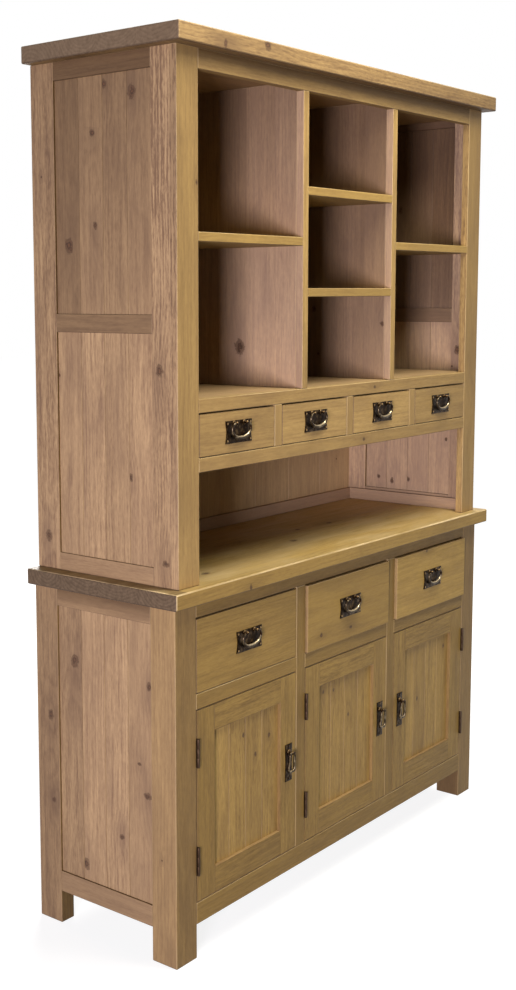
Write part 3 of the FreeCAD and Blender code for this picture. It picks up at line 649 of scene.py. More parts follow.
def write_finish(mesh, table, faces, corners, finish):
    """Writes darkness, partly painted shade, and figure of the corners, and the painted tint, end
    grain and edges of the faces.
    """
    normal, looks, face = faces["normal"], faces["looks"], corners["face"]
    steep = np.abs(normal)
    axis, length = table["fade"][corners["board"]], table["length"][corners["board"]]
    share = np.take_along_axis(corners["local"], axis, axis=1)[:, 0] / length
    share = np.clip(share + 0.5, 0, 1)
    dark, figure = table["dark"][corners["board"]], table["figure"][corners["board"]]
    shade = dark[:, 0] * (1 - share) + dark[:, 1] * share
    facing = finish["front"] * (normal[:, 1] < -SQUARE) + UNDERSIDE * (normal[:, 2] < -SQUARE)
    facing = facing + np.where(faces["outward"], *finish["side"]) * (steep[:, 0] > SQUARE)
    facing = facing + LEDGE * (normal[:, 2] > SQUARE) * faces["beyond"]
    shade = np.maximum(shade + facing[face], 0)
    shade[normal[face, 1] > SQUARE] = REAR
    streaks = figure[:, 1] * (1 - share) + figure[:, 2] * share
    streaks = np.where(looks[face] == AXES["Y"], figure[:, 0], streaks)
    write(mesh, "CORNER", "dark", shade)
    write(mesh, "CORNER", "figure", streaks)

    edge = np.where(normal[:, 2] > TILT, 1.0, UPRIGHT_EDGE) * finish["wear"]
    edge[normal[:, 2] < -TILT] = LOW_EDGE
    rounded = steep.max(axis=1) < FLAT
    edge = np.where(normal[:, 2] > FLAT, finish["top"], edge * rounded)
    quarter = np.where(looks == AXES["X"], np.where(faces["outward"], 0, 1), looks + 1)
    along_fibres = steep[np.arange(len(looks)), faces["first"]]
    end_share = np.clip((along_fibres - END_START) / END_RANGE, 0, 1)
    write(mesh, "FACE", "fresh", np.array(finish["fresh"])[quarter])
    write(mesh, "FACE", "end_grain", finish["ends"] * end_share)
    write(mesh, "FACE", "edge", edge)


print("usual finish", FINISH)

# %% [markdown]
# A finished piece gets its material, rides on its body and stands for its CAD node. Its box is
# measured against the node's box, because the two have to agree. With that, one function makes
# every piece of plain boards.


# %% Timber
def report(piece, nodes):
    """Prints how far the piece's box is from the box of the nodes it stands for, in mm."""
    place = read(piece.data.vertices, "co", 3)
    boxes = [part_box(name) for name in nodes]
    low = np.min([box[0] for box in boxes], axis=0)
    high = np.max([box[1] for box in boxes], axis=0)
    off = max(np.abs(place.min(axis=0) - low).max(), np.abs(place.max(axis=0) - high).max())
    print(piece.name, len(piece.data.polygons), "faces, off by", round(off / MM, 1), "mm")


def dress(piece, material, body, nodes):
    """Gives the piece its material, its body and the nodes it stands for."""
    piece.data.materials.clear()
    piece.data.materials.append(material)
    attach(piece, body)
    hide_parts(*nodes)
    report(piece, nodes)


def finish_wood(piece, boards, board_of_face, body, wood, finish):
    """Writes grain and finish, and dresses the piece for the node that its name holds."""
    table = board_table(piece.name, boards)
    faces = face_table(piece.data, table, board_of_face)
    corners = corner_table(piece.data, table, board_of_face)
    write_grain(piece.data, table, faces, corners)
    write_finish(piece.data, table, faces, corners, FINISH | finish)
    nodes = [piece.name.replace("wood_", "")]
    dress(piece, wood, body, nodes)


def timber(name, boards, body="carcass", ease=1.2, wood=waxed_pine, **finish):
    """One piece of eased boards, with what differs from the usual finish."""
    piece = start_boards(name, boards)
    ease_edges(piece, ease)
    numbers = read(piece.data.attributes["board"].data, "value")
    finish_wood(piece, boards, numbers, body, wood, finish)


# %% [markdown]
# Wide tops and shelves are glued from staves side by side. Separate boards would leave a groove at
# each joint, and a glued top is planed smooth. So a slab is made in one piece and bisected at the
# glue lines, and each stave then gets its own grain.


# %% Glued slabs
def bisect(axis, place):
    """Cuts the whole mesh in edit mode with a flat plane across an axis."""
    bpy.ops.mesh.select_all(action="SELECT")
    across = [float(number == AXES[axis]) for number in range(3)]
    bpy.ops.mesh.bisect(plane_co=[place * MM * share for share in across], plane_no=across)


def glued_slab(name, slabs, staves, ease=1.0, wood=waxed_pine, ledges=(), **finish):
    """Eased slabs, bisected in Y at the glue lines.

    They are also cut at the places in X where ledges start, so that these can be darker.
    """
    piece = start_boards(name, slabs)
    ease_edges(piece, ease)
    first = min(slab["low"][1] for slab in slabs)
    width = (max(slab["high"][1] for slab in slabs) - first) / staves
    bpy.ops.object.mode_set(mode="EDIT")
    for cut in range(1, staves):
        bisect("Y", first + cut * width)
    for x in ledges:
        bisect("X", x)
    bpy.ops.object.mode_set(mode="OBJECT")
    stave = (read(piece.data.polygons, "center", 3)[:, 1] / MM - first) // width
    stave = np.clip(stave, 0, staves - 1).astype(int)
    boards = []
    for slab in slabs:
        for number in range(staves):
            low, high = list(slab["low"]), list(slab["high"])
            low[1], high[1] = first + number * width, first + (number + 1) * width
            holders = [0 if knot[0] == "Y" else (knot[2] - first) // width for knot in slab["knots"]]
            knots = [knot for knot, holder in zip(slab["knots"], holders) if holder == number]
            boards.append(slab | {"low": low, "high": high, "knots": knots})
    numbers = read(piece.data.attributes["board"].data, "value") * staves + stave
    finish_wood(piece, boards, numbers, "carcass", wood, {"ends": 1.0} | finish)


print("timber and slabs can be made")

# %% [markdown]
# ## The hutch
# The hutch is a face frame in front of two panelled sides. Its levels are those of the CAD part.
# The outer stiles of the face frame and the front stiles of the sides look like one post, so both
# are cut from one trunk and their grain runs round the corner.

# %% Face frame of the hutch
FRONT, BACK, LINING = -195, 225, 213
HUTCH_INSIDE = -175
NICHE, LOWER_RAIL, SMALL_DRAWER, DECK_RAIL, BAY = 840, 1083, 1114, 1210, 1240
TOP_RAIL, CEILING, CORNICE, TOP = 1920, 1942, 1962, 2000
HUTCH_X, HUTCH_SIDE_X, STILE_X = 662.5, 640.5, 592.5
FRONT_POST, BACK_POST = -125, 155
# Painted tints of the face frame's faces, for the colour of the light on them
FRAME_TINT = (0.0, 0.5, 0.65, 0.6)
frame_y = (FRONT, HUTCH_INSIDE)


def bays(half, stile, count):
    """Openings of equal width between stiles, from left to right, as pairs in X."""
    width = (2 * half - (count - 1) * stile) / count
    lows = [-half + i * (width + stile) for i in range(count)]
    return [(low, low + width) for low in lows]


small_bays = bays(STILE_X, stile=28, count=4)
post_y = (FRONT - 1, FRONT_POST + 1)
posts = {s: board(pair(s, STILE_X, HUTCH_X), post_y, (NICHE, CORNICE), "Z") for s in SIDES}
# The stiles are painted darker towards the top, and the top rail towards the cornice: a painted
# shadow under the cornice.
front_boards = []
for s in SIDES:
    x = pair(s, STILE_X, HUTCH_X)
    knots = [("Y", 1690, -598, 4)]
    stile = board(x, frame_y, (NICHE, CORNICE), "Z", (0.2, 0.52), (0.4, 0.8, 1.9), knots, posts[s])
    front_boards.append(stile)
rails = (
    ((LOWER_RAIL, SMALL_DRAWER), 0.3, [("Y", 65, 1098, 4)]),
    ((DECK_RAIL, BAY), 0.35, [("Y", 114, 1226, 4)]),
    ((TOP_RAIL, CORNICE), (0.15, 1.05), []),
)
for z, shade, knots in rails:
    front_boards.append(board((-STILE_X, STILE_X), frame_y, z, "X", shade, 0.4, knots, fade="Z"))
for left, right in zip(small_bays, small_bays[1:]):
    front_boards.append(board((left[1], right[0]), frame_y, (SMALL_DRAWER, DECK_RAIL), "Z"))
timber("wood_hutch_front_frame", front_boards, ease=1.4, wear=0.6, fresh=FRAME_TINT)

# %% [markdown]
# Each side is a frame round two panels. A panel is four boards with a small V where they meet,
# which the eased edges make by themselves. It sits a few millimetres behind the frame, and its
# edges run into a groove.

# %% Sides of the hutch
PANEL_BOARDS, PANEL_RECESS, PANEL_THICK, IN_GROOVE = 4, 5, 10, 6
LOWER_PANEL, UPPER_PANEL = (880, 1378), (1418, 1922)
LAP = 3
side_rails = (
    ((NICHE, LOWER_PANEL[0]), 0.25),
    ((LOWER_PANEL[1], UPPER_PANEL[0]), 0.7),
    ((UPPER_PANEL[1], CORNICE), 0.95),
)
side_boards = []
for s in SIDES:
    x = pair(s, HUTCH_SIDE_X, HUTCH_X)
    y = (HUTCH_INSIDE - LAP, FRONT_POST)
    knots = [("X", 1301, -146, 9), ("X", 893, -160, 7)]
    side_boards.append(board(x, y, (NICHE, CORNICE), "Z", 0.25, (0.8, 0.8, 1.9), knots, posts[s]))
    knots = [("X", 915, 190, 9)] if s < 0 else []
    side_boards.append(board(x, (BACK_POST, BACK), (NICHE, CORNICE), "Z", (0.1, 0.4), 0.9, knots))
    for z, shade in side_rails:
        side_boards.append(board(x, (FRONT_POST, BACK_POST), z, "Y", shade))
# Faces of the side frames that look to the front are painted darker, a painted shade in the recesses
# beside the panels.
timber("wood_hutch_side_frames", side_boards, wear=0.15, front=0.7)


def panel(outer, z, s, shades, knots):
    """Upright boards of a side panel, from the front to the back."""
    x = pair(s, outer - PANEL_RECESS - PANEL_THICK, outer - PANEL_RECESS)
    step = (BACK_POST - FRONT_POST) / PANEL_BOARDS
    groove_z = (z[0] - IN_GROOVE, z[1] + IN_GROOVE)
    made = []
    for i, shade in enumerate(shades):
        low = FRONT_POST + i * step - (IN_GROOVE if i == 0 else 0)
        high = FRONT_POST + (i + 1) * step + (IN_GROOVE if i == PANEL_BOARDS - 1 else 0)
        inside = [knot for knot in knots if low <= knot[2] < high]
        made.append(board(x, (low, high), groove_z, "Z", shade, 0.7, inside))
    return made


side_panels = panel(HUTCH_X, LOWER_PANEL, -1, (0.1, 0.2, 0.15, 0.2), [("X", 1069, -58, 6)])
shades = ((0.35, 0.6), (0.4, 0.6), (0.35, 0.6), (0.5, 0.7))
knots = [("X", 1879, -70, 10), ("X", 1902, 8, 7), ("X", 1608, 39, 6), ("X", 1567, 118, 12)]
side_panels += panel(HUTCH_X, UPPER_PANEL, -1, shades, knots)
knots = [("X", 914, 112, 5), ("X", 905, 66, 6), ("X", 913, 10, 5), ("X", 1040, -112, 4)]
side_panels += panel(HUTCH_X, LOWER_PANEL, 1, (0.1, 0.0, 0.0, 0.0), knots)
# The right upper panel is painted dark, darker towards the top: painted shade for the bay inside it.
side_panels += panel(HUTCH_X, UPPER_PANEL, 1, ((0.65, 1.2),) * 4, [("X", 1700, 50, 7)])
timber("wood_hutch_side_boards", side_panels, wear=-0.3)

# %% [markdown]
# Inside, the dividers and shelves are glued from staves. Each divider has a stile in front, and the
# shelves reach the front between the stiles. The inner faces get a pale painted tint, and the
# dividers are painted darker towards the top, the right one more: painted shade in the bays.

# %% Dividers and shelves of the hutch
DIVIDER_IN, DIVIDER_OUT = 187, 209
SHELF = 20
# Pale painted tint on the sides of the dividers, for the light on them
PALE_INSIDE = (-1.0, -1.0, 0.7, 0.7)
inside_y = (HUTCH_INSIDE, LINING)
divider_knots = ([("X", 1333, -12, 13)], [("X", 1420, 40, 6)])
divider_slabs = []
for s, shade, knots in zip(SIDES, ((-0.1, 0.75), (0.5, 0.85)), divider_knots):
    x = pair(s, DIVIDER_IN, DIVIDER_OUT)
    divider_slabs.append(board(x, inside_y, (BAY, CEILING), "Z", shade, 0.6, knots))
    divider_slabs.append(board(x, frame_y, (BAY, TOP_RAIL), "Z", 0.2, 0.5))
glued_slab("wood_hutch_dividers", divider_slabs, 5, 1.2, fresh=PALE_INSIDE)

mouths = [(-STILE_X, -DIVIDER_OUT), (-DIVIDER_IN, DIVIDER_IN), (DIVIDER_OUT, STILE_X)]
shelf_slabs = []
for mouth, count in zip(mouths, (1, 2, 1)):
    clear = (TOP_RAIL - BAY - count * SHELF) / (count + 1)
    for i in range(count):
        level = BAY + (i + 1) * clear + i * SHELF
        z = (level, level + SHELF)
        shelf_slabs.append(board(mouth, (FRONT, LINING), z, "X"))
        if count == 1:
            s = -1 if mouth[0] < 0 else 1
            shelf_slabs.append(board(pair(s, STILE_X, HUTCH_SIDE_X), inside_y, z, "X"))
glued_slab("wood_hutch_shelves", shelf_slabs, 4, 1.4)

# %% [markdown]
# Three boards span the hutch, battens guide its drawers, upright boards close its back, and more
# battens hold it on the worktop. Most are plain pine, as such inner boards often are. The back
# boards are painted darker towards the top, and the ceiling board is painted dark: painted shade in
# the bays, which are nearly black there and which the lamps here darken only in part.

# %% Spanning boards, battens and back of the hutch
DECK, PLAIN_BOARD = 20, 18
GUIDE = 25
BATTEN, BATTEN_TOP = 12, 873
BACK_COUNT = 8
cross_levels = (
    ((CEILING, CORNICE), 1.3),
    ((BAY - DECK, BAY), 0.6),
    ((SMALL_DRAWER - PLAIN_BOARD, SMALL_DRAWER), 0.3),
)
cross_x = (-HUTCH_SIDE_X, HUTCH_SIDE_X)
cross = [board(cross_x, inside_y, z, "X", shade) for z, shade in cross_levels]
glued_slab("wood_hutch_cross_boards", cross, 4, wood=plain_pine)

edges = [-HUTCH_SIDE_X] + [edge for bay in small_bays for edge in bay] + [HUTCH_SIDE_X]
guide_z = (SMALL_DRAWER, SMALL_DRAWER + GUIDE)
guides = [board(x, inside_y, guide_z, "Y") for x in zip(edges[0::2], edges[1::2])]
timber("wood_hutch_drawer_guides", guides, wood=plain_pine)


def back_boards(half, z, shade):
    """Upright boards that close the back."""
    step = 2 * half / BACK_COUNT
    lows = [-half + i * step for i in range(BACK_COUNT)]
    return [board((low, low + step), (LINING, BACK), z, "Z", shade) for low in lows]


hutch_back = back_boards(HUTCH_SIDE_X, (NICHE, CORNICE), (-0.2, 2.8))
timber("wood_hutch_back_boards", hutch_back, wood=plain_pine, wear=0.0)

batten_x, batten_z = HUTCH_SIDE_X - BATTEN, (NICHE, BATTEN_TOP)
battens = [board((-batten_x, batten_x), (LINING - BATTEN, LINING), batten_z, "X")]
for s in SIDES:
    battens.append(board(pair(s, batten_x, HUTCH_SIDE_X), inside_y, batten_z, "Y"))
# The niche battens get a pale painted tint on their sides and fronts.
timber("wood_niche_battens", battens, wear=0.1, fresh=(-1.0, -1.0, -1.0, 0.0))

# %% [markdown]
# ## Worktop and cornice
# Both are thick glued tops whose ends show dark end grain. Their edges are rubbed round, so they
# get the widest bevel. Beside the hutch the worktop is a ledge, which is darker in the photograph,
# so the mesh is cut there.

# %% Worktop and cornice
WORKTOP, WORKTOP_X, WORKTOP_FRONT = 804, 700, -220
CORNICE_X, CORNICE_FRONT = 690, -225
TOP_EASE = 3.0
worktop_x, worktop_y = (-WORKTOP_X, WORKTOP_X), (WORKTOP_FRONT, BACK)
knots = [("Z", -492, -131, 8), ("Z", -46, -60, 9), ("Z", 225, 12, 7), ("Y", -441, 812, 5)]
# The worktop is painted darker towards its left end and on its front, a painted shade in the niche,
# and darker on the ledges beside the hutch. Its top and upper edges are painted pale, partly rubbing
# and partly a painted highlight.
worktop = [board(worktop_x, worktop_y, (WORKTOP, NICHE), "X", (0.2, 0.0), 0.6, knots)]
glued_slab(
    "wood_worktop",
    worktop,
    4,
    TOP_EASE,
    ledges=(-HUTCH_X, HUTCH_X),
    wear=1.8,
    top=0.6,
    ends=1.37,
    front=0.1,
    fresh=(0.0, 0.0, 1.0, 1.0),
)
cornice_x, cornice_y = (-CORNICE_X, CORNICE_X), (CORNICE_FRONT, BACK)
knots = [("Y", -389, 1990, 9), ("Y", -538, 1974, 6)]
cornice = [board(cornice_x, cornice_y, (CORNICE, TOP), "X", (0.4, 0.68), 0.9, knots)]
# The cornice's top is painted darker, a painted shade that keeps the top lamp from burning it out.
glued_slab("wood_cornice_board", cornice, 4, TOP_EASE, top=-0.5, fresh=(0.0, 0.0, 0.4, 0.4))

# %% [markdown]
# ## The base
# Stout legs carry side rails with panels between them, and a face frame for three drawers over
# three doors. The legs are eased more than the rails, so that their corners look rounder.

# %% Legs and sides of the base
FOOT, DOOR, DRAWER_RAIL, BASE_DRAWER, BASE_TOP_RAIL = 78, 127, 566, 601, 770
BASE_X, LEG_X, BACK_LEG_X, BASE_SIDE_X = 675, 605, 635, 650
LEG_Y, BASE_INSIDE = -125, -173
BASE_PANEL = (DOOR, 759)
LEG_EASE = 2.0
# Painted tints of the legs' faces, for the colour of the light on them
LEG_TINT = (0.3, 0.3, 0.7, 0.7)
legs = [board(pair(s, LEG_X, BASE_X), (FRONT, LEG_Y), (0, WORKTOP), "Z", 0.3) for s in SIDES]
# The fronts and inner sides of the front legs are painted darker, a painted shade.
timber("wood_base_front_legs", legs, ease=LEG_EASE, front=0.3, side=(0.0, 0.55), fresh=LEG_TINT)
knots = [("X", 498, 181, 8)]
legs = []
rails = []
for s in SIDES:
    leg_x, rail_x = pair(s, BACK_LEG_X, BASE_X), pair(s, BASE_SIDE_X, BASE_X)
    legs.append(board(leg_x, (BACK_POST, BACK), (0, WORKTOP), "Z", 0.45, 0.6, knots))
    rail_y, top_z = (LEG_Y, BACK_POST), (BASE_PANEL[1], WORKTOP)
    rails.append(board(rail_x, rail_y, (FOOT, DOOR), "Y", 0.35))
    # The top rail is painted darker towards the worktop, a painted shadow under its overhang.
    rails.append(board(rail_x, rail_y, top_z, "Y", (0.35, 0.95), fade="Z"))
# Faces of the back legs that look to the front are painted darker, a painted shade.
timber("wood_base_back_legs", legs, ease=LEG_EASE, wear=0.2, front=0.4)
timber("wood_base_side_rails", rails, wear=0.15)

knots = [("X", 637, 107, 11), ("X", 619, -117, 7), ("X", 371, -111, 8), ("X", 439, -86, 4)]
knots.append(("X", 164, 78, 9))
base_panels = panel(BASE_X, BASE_PANEL, -1, (0.25, 0.1, 0.15, 0.35), knots)
knots = [("X", 690, 128, 8), ("X", 560, 60, 7), ("X", 300, -20, 6), ("X", 480, -90, 7)]
base_panels += panel(BASE_X, BASE_PANEL, 1, (0.2, 0.15, 0.25, 0.2), knots)
timber("wood_base_side_boards", base_panels, wear=-0.3)

# %% [markdown]
# The face frame has a rail above and below, two stiles between the bays, and a short rail under
# each drawer.

# %% Face frame of the base
# Painted tints of the base's front faces, for the colour of the light on them
BASE_TINT = (0.6, 0.6, 1.0, 0.4)
base_bays = bays(LEG_X, stile=36, count=3)
base_frame_y = (FRONT, BASE_INSIDE)
base_front = []
# The upper rail is painted darker, a painted shadow under the worktop.
for z, shade in (((FOOT, DOOR), 0.2), ((BASE_TOP_RAIL, WORKTOP), 0.45)):
    base_front.append(board((-LEG_X, LEG_X), base_frame_y, z, "X", shade))
for bay in base_bays:
    base_front.append(board(bay, base_frame_y, (DRAWER_RAIL, BASE_DRAWER), "X"))
for left, right in zip(base_bays, base_bays[1:]):
    base_front.append(board((left[1], right[0]), base_frame_y, (DOOR, BASE_TOP_RAIL), "Z"))
# The base's face frame is painted darker on its front, a painted shade.
timber("wood_base_front_frame", base_front, ease=1.4, wear=0.6, front=0.3, fresh=BASE_TINT)

# %% [markdown]
# The boards inside the base only show when a door or a drawer is open. They are plain pine without
# wax. Two partitions make three rooms, and the boards that reach the sides are notched round the
# legs.

# %% Rooms inside the base
PARTITION = 18
SHELF_LEVEL, SHELF_FRONT = 337, -150
INNER_EASE = 0.8
base_y = (BASE_INSIDE, LINING)
wall_faces = [-LEG_X]
for left, right in zip(base_bays, base_bays[1:]):
    middle = (left[1] + right[0]) / 2
    wall_faces += [middle - PARTITION / 2, middle + PARTITION / 2]
wall_faces.append(LEG_X)
rooms = list(zip(wall_faces[0::2], wall_faces[1::2]))
walls = zip(wall_faces[1::2], wall_faces[2::2])
partitions = [board(wall, base_y, (DOOR, WORKTOP), "Z") for wall in walls]
glued_slab("wood_base_partitions", partitions, 4, wood=plain_pine)


def notched(x_pairs, top):
    """Boards that reach past the front legs to the sides, notched round both legs."""
    z = (top - PLAIN_BOARD, top)
    made = [board(x, base_y, z, "X") for x in x_pairs]
    for s in SIDES:
        made.append(board(pair(s, LEG_X, BASE_SIDE_X), (LEG_Y, BACK_POST), z, "X"))
        made.append(board(pair(s, LEG_X, BACK_LEG_X), (BACK_POST, LINING), z, "X"))
    return made


drawer_boards = notched(rooms, BASE_DRAWER)
glued_slab("wood_base_drawer_boards", drawer_boards, 3, INNER_EASE, plain_pine)
floor_boards = notched([(-LEG_X, LEG_X)], DOOR)
glued_slab("wood_base_floor", floor_boards, 4, INNER_EASE, plain_pine)
shelf_y, shelf_z = (SHELF_FRONT, LINING), (SHELF_LEVEL, SHELF_LEVEL + PLAIN_BOARD)
shelves = [board((low + 1, high - 1), shelf_y, shelf_z, "X") for low, high in rooms]
glued_slab("wood_base_shelves", shelves, 3, 1.2, plain_pine)

# %% [markdown]
# Battens do the small jobs: they guide the drawers, carry the shelves and stop the doors.

# %% Battens and back of the base
CLEAT = 18
STOP_INSET, STOP_Y, STOP_Z = 30, (-172.5, -152.5), (545, 583)
guide_z = (BASE_DRAWER, BASE_DRAWER + GUIDE)
cleat_z = (SHELF_LEVEL - GUIDE, SHELF_LEVEL)
strips = []
for room, bay in zip(rooms, base_bays):
    for low, high in ((room[0], bay[0]), (bay[1], room[1])):
        if high > low:
            strips.append(board((low, high), base_y, guide_z, "Y"))
    for low in (room[0], room[1] - CLEAT):
        strips.append(board((low, low + CLEAT), shelf_y, cleat_z, "Y"))
    strips.append(board((bay[0] + STOP_INSET, bay[1] - STOP_INSET), STOP_Y, STOP_Z, "X"))
for s in SIDES:
    strips.append(board(pair(s, LEG_X, BACK_LEG_X), (LEG_Y, LINING), guide_z, "Y"))
timber("wood_base_inner_battens", strips, wood=plain_pine)
base_back = back_boards(BACK_LEG_X, (FOOT, WORKTOP), 0.2)
timber("wood_base_back_boards", base_back, wood=plain_pine, wear=0.0)

# %% [markdown]
# ## Drawers
# Each drawer is a front with a box behind it, whose bottom sits in grooves. The wide ones in the
# middle and on the right stand a few millimetres open, as on the object, so they are modelled there
# and their edges are rubbed. The edges of closed ones are painted dark, a painted shadow in the
# gaps.

# %% Drawers
DRAWER_END = LINING - 20
AJAR = (0, 6, 7)
FACE_THICK, FACE_SIDE, FACE_LOW, FACE_HIGH = 20, 2, 1.5, 3
BOX_SIDE, BOX_LOW, BOX_HIGH, WALL = 3, 0.5, 15, 10
BOTTOM_LIFT, BOTTOM, GROOVE = 8, 6, 4
OPEN_WEAR, CLOSED_GAP_SHADE = 0.4, -0.5


def drawer(name, bay, z, ajar, shade, fresh, knots=()):
    """Front, sides, back and bottom of a drawer."""
    y_face = FRONT - ajar
    y_box, y_end = y_face + FACE_THICK, DRAWER_END - ajar
    low, high = bay[0] + BOX_SIDE, bay[1] - BOX_SIDE
    z_low, z_high = z[0] + BOX_LOW, z[1] - BOX_HIGH
    bottom_z = (z_low + BOTTOM_LIFT, z_low + BOTTOM_LIFT + BOTTOM)
    face_x, face_z = (bay[0] + FACE_SIDE, bay[1] - FACE_SIDE), (z[0] + FACE_LOW, z[1] - FACE_HIGH)
    back_x, back_y = (low + WALL, high - WALL), (y_end - WALL, y_end)
    bottom_x = (low + WALL - GROOVE, high - WALL + GROOVE)
    boards = [board(face_x, (y_face, y_box), face_z, "X", shade, 0.4, knots)]
    for x in ((low, back_x[0]), (back_x[1], high)):
        boards.append(board(x, (y_box, y_end), (z_low, z_high), "Y"))
    boards.append(board(back_x, back_y, (bottom_z[1], z_high), "X"))
    boards.append(board(bottom_x, (y_box - GROOVE, y_end), bottom_z, "Y"))
    wear = OPEN_WEAR if ajar else CLOSED_GAP_SHADE
    timber("wood_" + name, boards, body=name, wear=wear, ends=0.3, fresh=fresh)


small_z, base_z = (SMALL_DRAWER, DECK_RAIL), (BASE_DRAWER, BASE_TOP_RAIL)
for i, (bay, shade) in enumerate(zip(small_bays, (0.2, 0.0, 0.05, 0.3))):
    drawer(f"small_drawer_{i + 1}", bay, small_z, 0, shade, FRAME_TINT)
for i, (bay, shade) in enumerate(zip(base_bays, (0.5, 0.4, 0.05))):
    drawer(f"base_drawer_{i + 1}", bay, base_z, AJAR[i], shade, BASE_TINT, [("Y", 3, 629, 4)])

# %% [markdown]
# ## Doors
# A door is a frame of two stiles and two rails round a panel of four boards that sits well back.
# The gap on the hinge side is wider, because the leaves of the hinges lie in it.

# %% Doors
DOOR_THICK, DOOR_STILE, DOOR_RAIL = 22, 62, 60
PANEL_BACK_SET, DOOR_PANEL_THICK = 9, 8
HINGE_GAP, DOOR_GAP = 2.6, 2
HINGE_SIDES = (-1, -1, 1)
# Knots of each door's panel: the board, the height and the place across the board
DOOR_KNOTS = (
    ((1, 460, 0.85), (2, 402, 0.6), (3, 434, 0.45)),
    ((0, 482, 0.55), (1, 475, 0.2), (2, 395, 0.3)),
    ((1, 350, 0.3), (3, 468, 0.6)),
)
# Door frames are painted darker on their fronts and on faces that look to a side, and their edges
# dark: painted shade in the recess and the gaps, and dark joints.
DOOR_FINISH = {"wear": -0.3, "front": 0.25, "side": (0.35, 0.35), "fresh": BASE_TINT}
door_y = (FRONT, FRONT + DOOR_THICK)
panel_y = (FRONT + PANEL_BACK_SET, FRONT + PANEL_BACK_SET + DOOR_PANEL_THICK)
door_z = (DOOR + DOOR_GAP, DRAWER_RAIL - DOOR_GAP)
inner_z = (door_z[0] + DOOR_RAIL, door_z[1] - DOOR_RAIL)
panel_z = (inner_z[0] - IN_GROOVE, inner_z[1] + IN_GROOVE)
door_extents = []
for (low, high), side in zip(base_bays, HINGE_SIDES):
    gaps = (HINGE_GAP, DOOR_GAP) if side < 0 else (DOOR_GAP, HINGE_GAP)
    door_extents.append((low + gaps[0], high - gaps[1]))

for i, (low, high) in enumerate(door_extents):
    body = f"door_{i + 1}"
    inner_x = (low + DOOR_STILE, high - DOOR_STILE)
    boards = []
    for x in ((low, inner_x[0]), (inner_x[1], high)):
        boards.append(board(x, door_y, door_z, "Z", 0.2, 0.7))
    for z in ((door_z[0], inner_z[0]), (inner_z[1], door_z[1])):
        boards.append(board(inner_x, door_y, z, "X", 0.2, 0.7))
    timber(f"wood_door_frame_{i + 1}", boards, body=body, **DOOR_FINISH)
    step = (inner_x[1] - inner_x[0]) / PANEL_BOARDS
    boards = []
    for k in range(PANEL_BOARDS):
        x = [inner_x[0] + k * step, inner_x[0] + (k + 1) * step]
        x[0] -= IN_GROOVE if k == 0 else 0
        x[1] += IN_GROOVE if k == PANEL_BOARDS - 1 else 0
        knots = [("Y", level, x[0] + share * step, 4) for n, level, share in DOOR_KNOTS[i] if n == k]
        boards.append(board(x, panel_y, panel_z, "Z", 0.25, 0.7, knots))
    timber(f"wood_door_panel_{i + 1}", boards, body=body, ease=1.4, wear=0.15)

# %% [markdown]
# ## Bails and plates of the drawers
# A thin cast plate carries two round eyes, and a bail hangs in them. Bosses and nail heads are
# flattened balls, posts are rods with eased ends, and the parts of one casting are joined to one
# piece.


# %% Balls and rods
def join(parts, name):
    """Joins objects to the first one."""
    bpy.ops.object.select_all(action="DESELECT")
    for part in parts:
        part.select_set(True)
    bpy.context.view_layer.objects.active = parts[0]
    bpy.ops.object.join()
    piece = bpy.context.object
    piece.name = name
    return piece


def ball(place, radius, squash=1.0):
    """Rounded boss or nail head, flattened along Y."""
    bpy.ops.mesh.primitive_uv_sphere_add(segments=20, ring_count=12, radius=radius * MM)
    piece = bpy.context.object
    piece.scale = (1, squash, 1)
    piece.location = Vector(place) * MM
    apply_all()
    bpy.ops.object.shade_smooth()
    return piece


def rod(start, end, radius):
    """Round rod along Y or Z with eased ends."""
    start, end = Vector(start) * MM, Vector(end) * MM
    turn = (0, 0, 0) if abs(end.z - start.z) > abs(end.y - start.y) else (math.pi / 2, 0, 0)
    length = (end - start).length
    bpy.ops.mesh.primitive_cylinder_add(
        vertices=24, radius=radius * MM, depth=length, location=(start + end) / 2, rotation=turn
    )
    apply_all()
    piece = bpy.context.object
    ease_edges(piece, 0.5)
    bpy.ops.object.shade_smooth_by_angle(angle=math.radians(40))
    return piece


print("balls and rods can be made")

# %% [markdown]
# The plate was beaten, so it is a grid whose points are moved by chance, with a waist and a rim
# that turns down, and a wall from Solidify. The bail was drawn from a wire, thin at its ends and
# thick at the bottom where fingers pull. A curve with a radius at each point gives that shape, and
# is then made a mesh.

# %% Plates and wires
GRID_STEP = 3
DENT, RIM_TURN = 0.35, 0.6
# Shares of height and width beyond which a point belongs to the rim
RIM_Z, RIM_X = 0.49, 0.47


def beaten_plate(width, height, thick, waist):
    """Plate on the plane y = 0 that faces -Y, with dents, a waist and eased edges."""
    bpy.ops.object.select_all(action="DESELECT")
    columns, rows = max(8, round(width / GRID_STEP)), max(8, round(height / GRID_STEP))
    bpy.ops.mesh.primitive_grid_add(x_subdivisions=columns, y_subdivisions=rows, size=1)
    piece = bpy.context.object
    piece.scale = (width * MM, height * MM, 1)
    apply_all()
    piece.rotation_euler = (math.pi / 2, 0, 0)
    piece.location = (0, -thick * MM, 0)
    apply_all()
    dice = random.Random("dents")
    for point in piece.data.vertices:
        share = 2 * point.co.z / (height * MM)
        point.co.x *= 1 - waist * math.cos(share * math.pi / 2) ** 2
        rim = abs(point.co.z) > RIM_Z * height * MM or abs(point.co.x) > RIM_X * width * MM
        point.co.y += dice.uniform(-DENT, DENT) * MM + (RIM_TURN * MM if rim else 0)
    bpy.ops.object.modifier_add(type="SOLIDIFY")
    wall = piece.modifiers[-1]
    wall.thickness = thick * MM
    wall.offset = -1
    bpy.ops.object.modifier_apply(modifier=wall.name)
    bpy.ops.object.shade_smooth_by_angle(angle=math.radians(35))
    return piece


